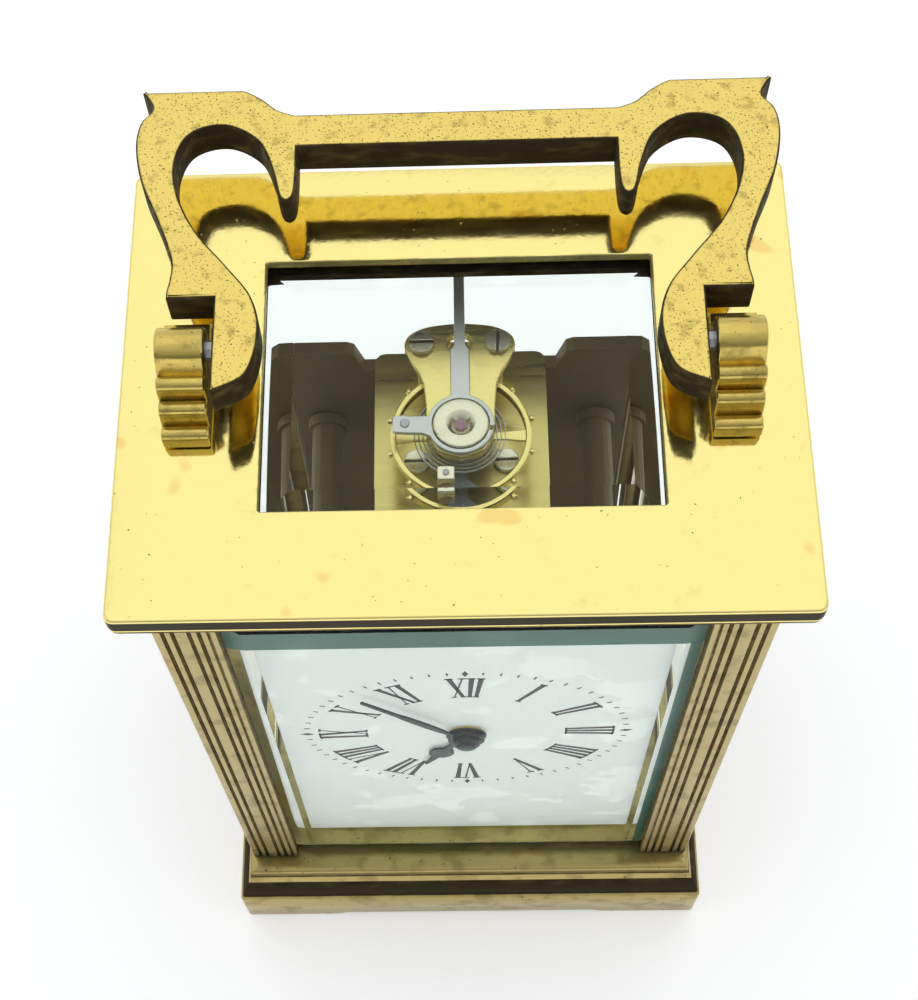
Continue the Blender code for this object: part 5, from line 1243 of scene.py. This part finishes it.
def add_camera(values):
    """Camera whose axes come from yaw, pitch and roll, all in radians."""
    yaw, pitch, roll = values.camera_yaw, values.camera_pitch, values.camera_roll
    ahead = np.array([math.sin(yaw) * math.cos(pitch), math.cos(yaw) * math.cos(pitch), -math.sin(pitch)])
    level = np.array([math.cos(yaw), -math.sin(yaw), 0.0])
    above = np.cross(level, ahead)
    right = math.cos(roll) * level + math.sin(roll) * above
    up = -math.sin(roll) * level + math.cos(roll) * above
    axes = Matrix(np.stack([right, up, -ahead], 1).tolist()).to_4x4()
    lens = bpy.data.cameras.new("camera")
    lens.lens = values.lens
    lens.sensor_width = 36.0
    lens.shift_x = values.shift_x
    lens.shift_y = values.shift_y
    lens.clip_start = 0.01
    lens.clip_end = 20.0
    camera = bpy.data.objects.new("camera", lens)
    bpy.context.scene.collection.objects.link(camera)
    camera.matrix_world = Matrix.Translation(values.camera_place) @ axes
    bpy.context.scene.camera = camera


def build_stage(values):
    """Floor, surroundings, three softboxes whose power follows the overhead one, and the camera."""
    build_floor(values)
    build_surroundings(values)
    for name, place, target, width, power, tint in (
            ("overhead softbox", (0.02, 0.32, 0.85), (0.0, 0.0, 0.1), 0.8, 1.0, (1.0, 1.0, 1.0)),
            ("left softbox", (-0.8, -0.1, 0.5), (0.0, 0.0, 0.08), 0.4, 0.35, (0.94, 0.97, 1.0)),
            ("right softbox", (0.7, -0.35, 0.45), (0.0, 0.0, 0.06), 0.35, 0.25, (1.0, 0.97, 0.92))):
        add_softbox(name, place, target, width, power * values.softbox, tint)
    add_camera(values)
    bpy.context.scene.view_settings.view_transform = "Standard"


# ---------------------------------------------------------------- operators, panel and run
class CLOCK_OT_finishes(bpy.types.Operator):
    """Make the finishes and dress the frame pieces that stay"""
    bl_idname = "clock.finishes"
    bl_label = "Finishes"

    def execute(self, context):
        values = context.scene.clock_finish
        make_finishes(values)
        dress_frame()
        return {"FINISHED"}


class CLOCK_OT_case(bpy.types.Operator):
    """Build the top plate, cornice, plinth and posts"""
    bl_idname = "clock.case"
    bl_label = "Case"

    def execute(self, context):
        values = context.scene.clock_case
        build_top_plate(values)
        build_cornice(values)
        build_plinth(values)
        build_posts(values)
        build_painted_pane_edges(values)
        return {"FINISHED"}


class CLOCK_OT_handle(bpy.types.Operator):
    """Build the folding handle and its two lugs"""
    bl_idname = "clock.handle"
    bl_label = "Handle"

    def execute(self, context):
        values = context.scene.clock_handle
        build_handle(values)
        build_lugs(values)
        return {"FINISHED"}


class CLOCK_OT_door(bpy.types.Operator):
    """Build the rear door's frame and knob"""
    bl_idname = "clock.door"
    bl_label = "Rear door"

    def execute(self, context):
        build_door(context.scene.clock_movement)
        return {"FINISHED"}


class CLOCK_OT_dial(bpy.types.Operator):
    """Build the dial, its print and the hands"""
    bl_idname = "clock.dial"
    bl_label = "Dial and hands"

    def execute(self, context):
        values = context.scene.clock_dial
        build_dial(values)
        build_hands(values)
        return {"FINISHED"}


class CLOCK_OT_movement(bpy.types.Operator):
    """Build the movement plates, platform, balance, spring, cock and index"""
    bl_idname = "clock.movement"
    bl_label = "Movement"

    def execute(self, context):
        values = context.scene.clock_movement
        build_movement(values)
        build_cock(values)
        build_index()
        build_balance(values)
        build_spring(values)
        return {"FINISHED"}


class CLOCK_OT_stage(bpy.types.Operator):
    """Lay the floor, hang the lights and place the camera"""
    bl_idname = "clock.stage"
    bl_label = "Stage"

    def execute(self, context):
        build_stage(context.scene.clock_stage)
        return {"FINISHED"}


OPERATORS = (CLOCK_OT_finishes, CLOCK_OT_case, CLOCK_OT_handle, CLOCK_OT_door, CLOCK_OT_dial,
             CLOCK_OT_movement, CLOCK_OT_stage)


class CLOCK_PT_panel(bpy.types.Panel):
    """The clock's operators and values."""

    bl_label = "Carriage clock"
    bl_idname = "CLOCK_PT_panel"
    bl_space_type = "VIEW_3D"
    bl_region_type = "UI"
    bl_category = "Clock"

    def draw(self, context):
        for operator in OPERATORS:
            self.layout.operator(operator.bl_idname)
        for name, group in GROUPS.items():
            box = self.layout.box()
            for key in group.__annotations__:
                box.prop(getattr(context.scene, name), key)


def register():
    for group in GROUPS.values():
        bpy.utils.register_class(group)
    for operator in OPERATORS:
        bpy.utils.register_class(operator)
    bpy.utils.register_class(CLOCK_PT_panel)
    for name, group in GROUPS.items():
        setattr(bpy.types.Scene, name, PointerProperty(type=group))


def unregister():
    for name in GROUPS:
        delattr(bpy.types.Scene, name)
    bpy.utils.unregister_class(CLOCK_PT_panel)
    for operator in reversed(OPERATORS):
        bpy.utils.unregister_class(operator)
    for group in reversed(GROUPS.values()):
        bpy.utils.unregister_class(group)


def main():
    register()
    bpy.ops.clock.finishes()
    bpy.ops.clock.case()
    bpy.ops.clock.handle()
    bpy.ops.clock.door()
    bpy.ops.clock.dial()
    bpy.ops.clock.movement()
    bpy.ops.clock.stage()


if __name__ == "__main__":
    main()
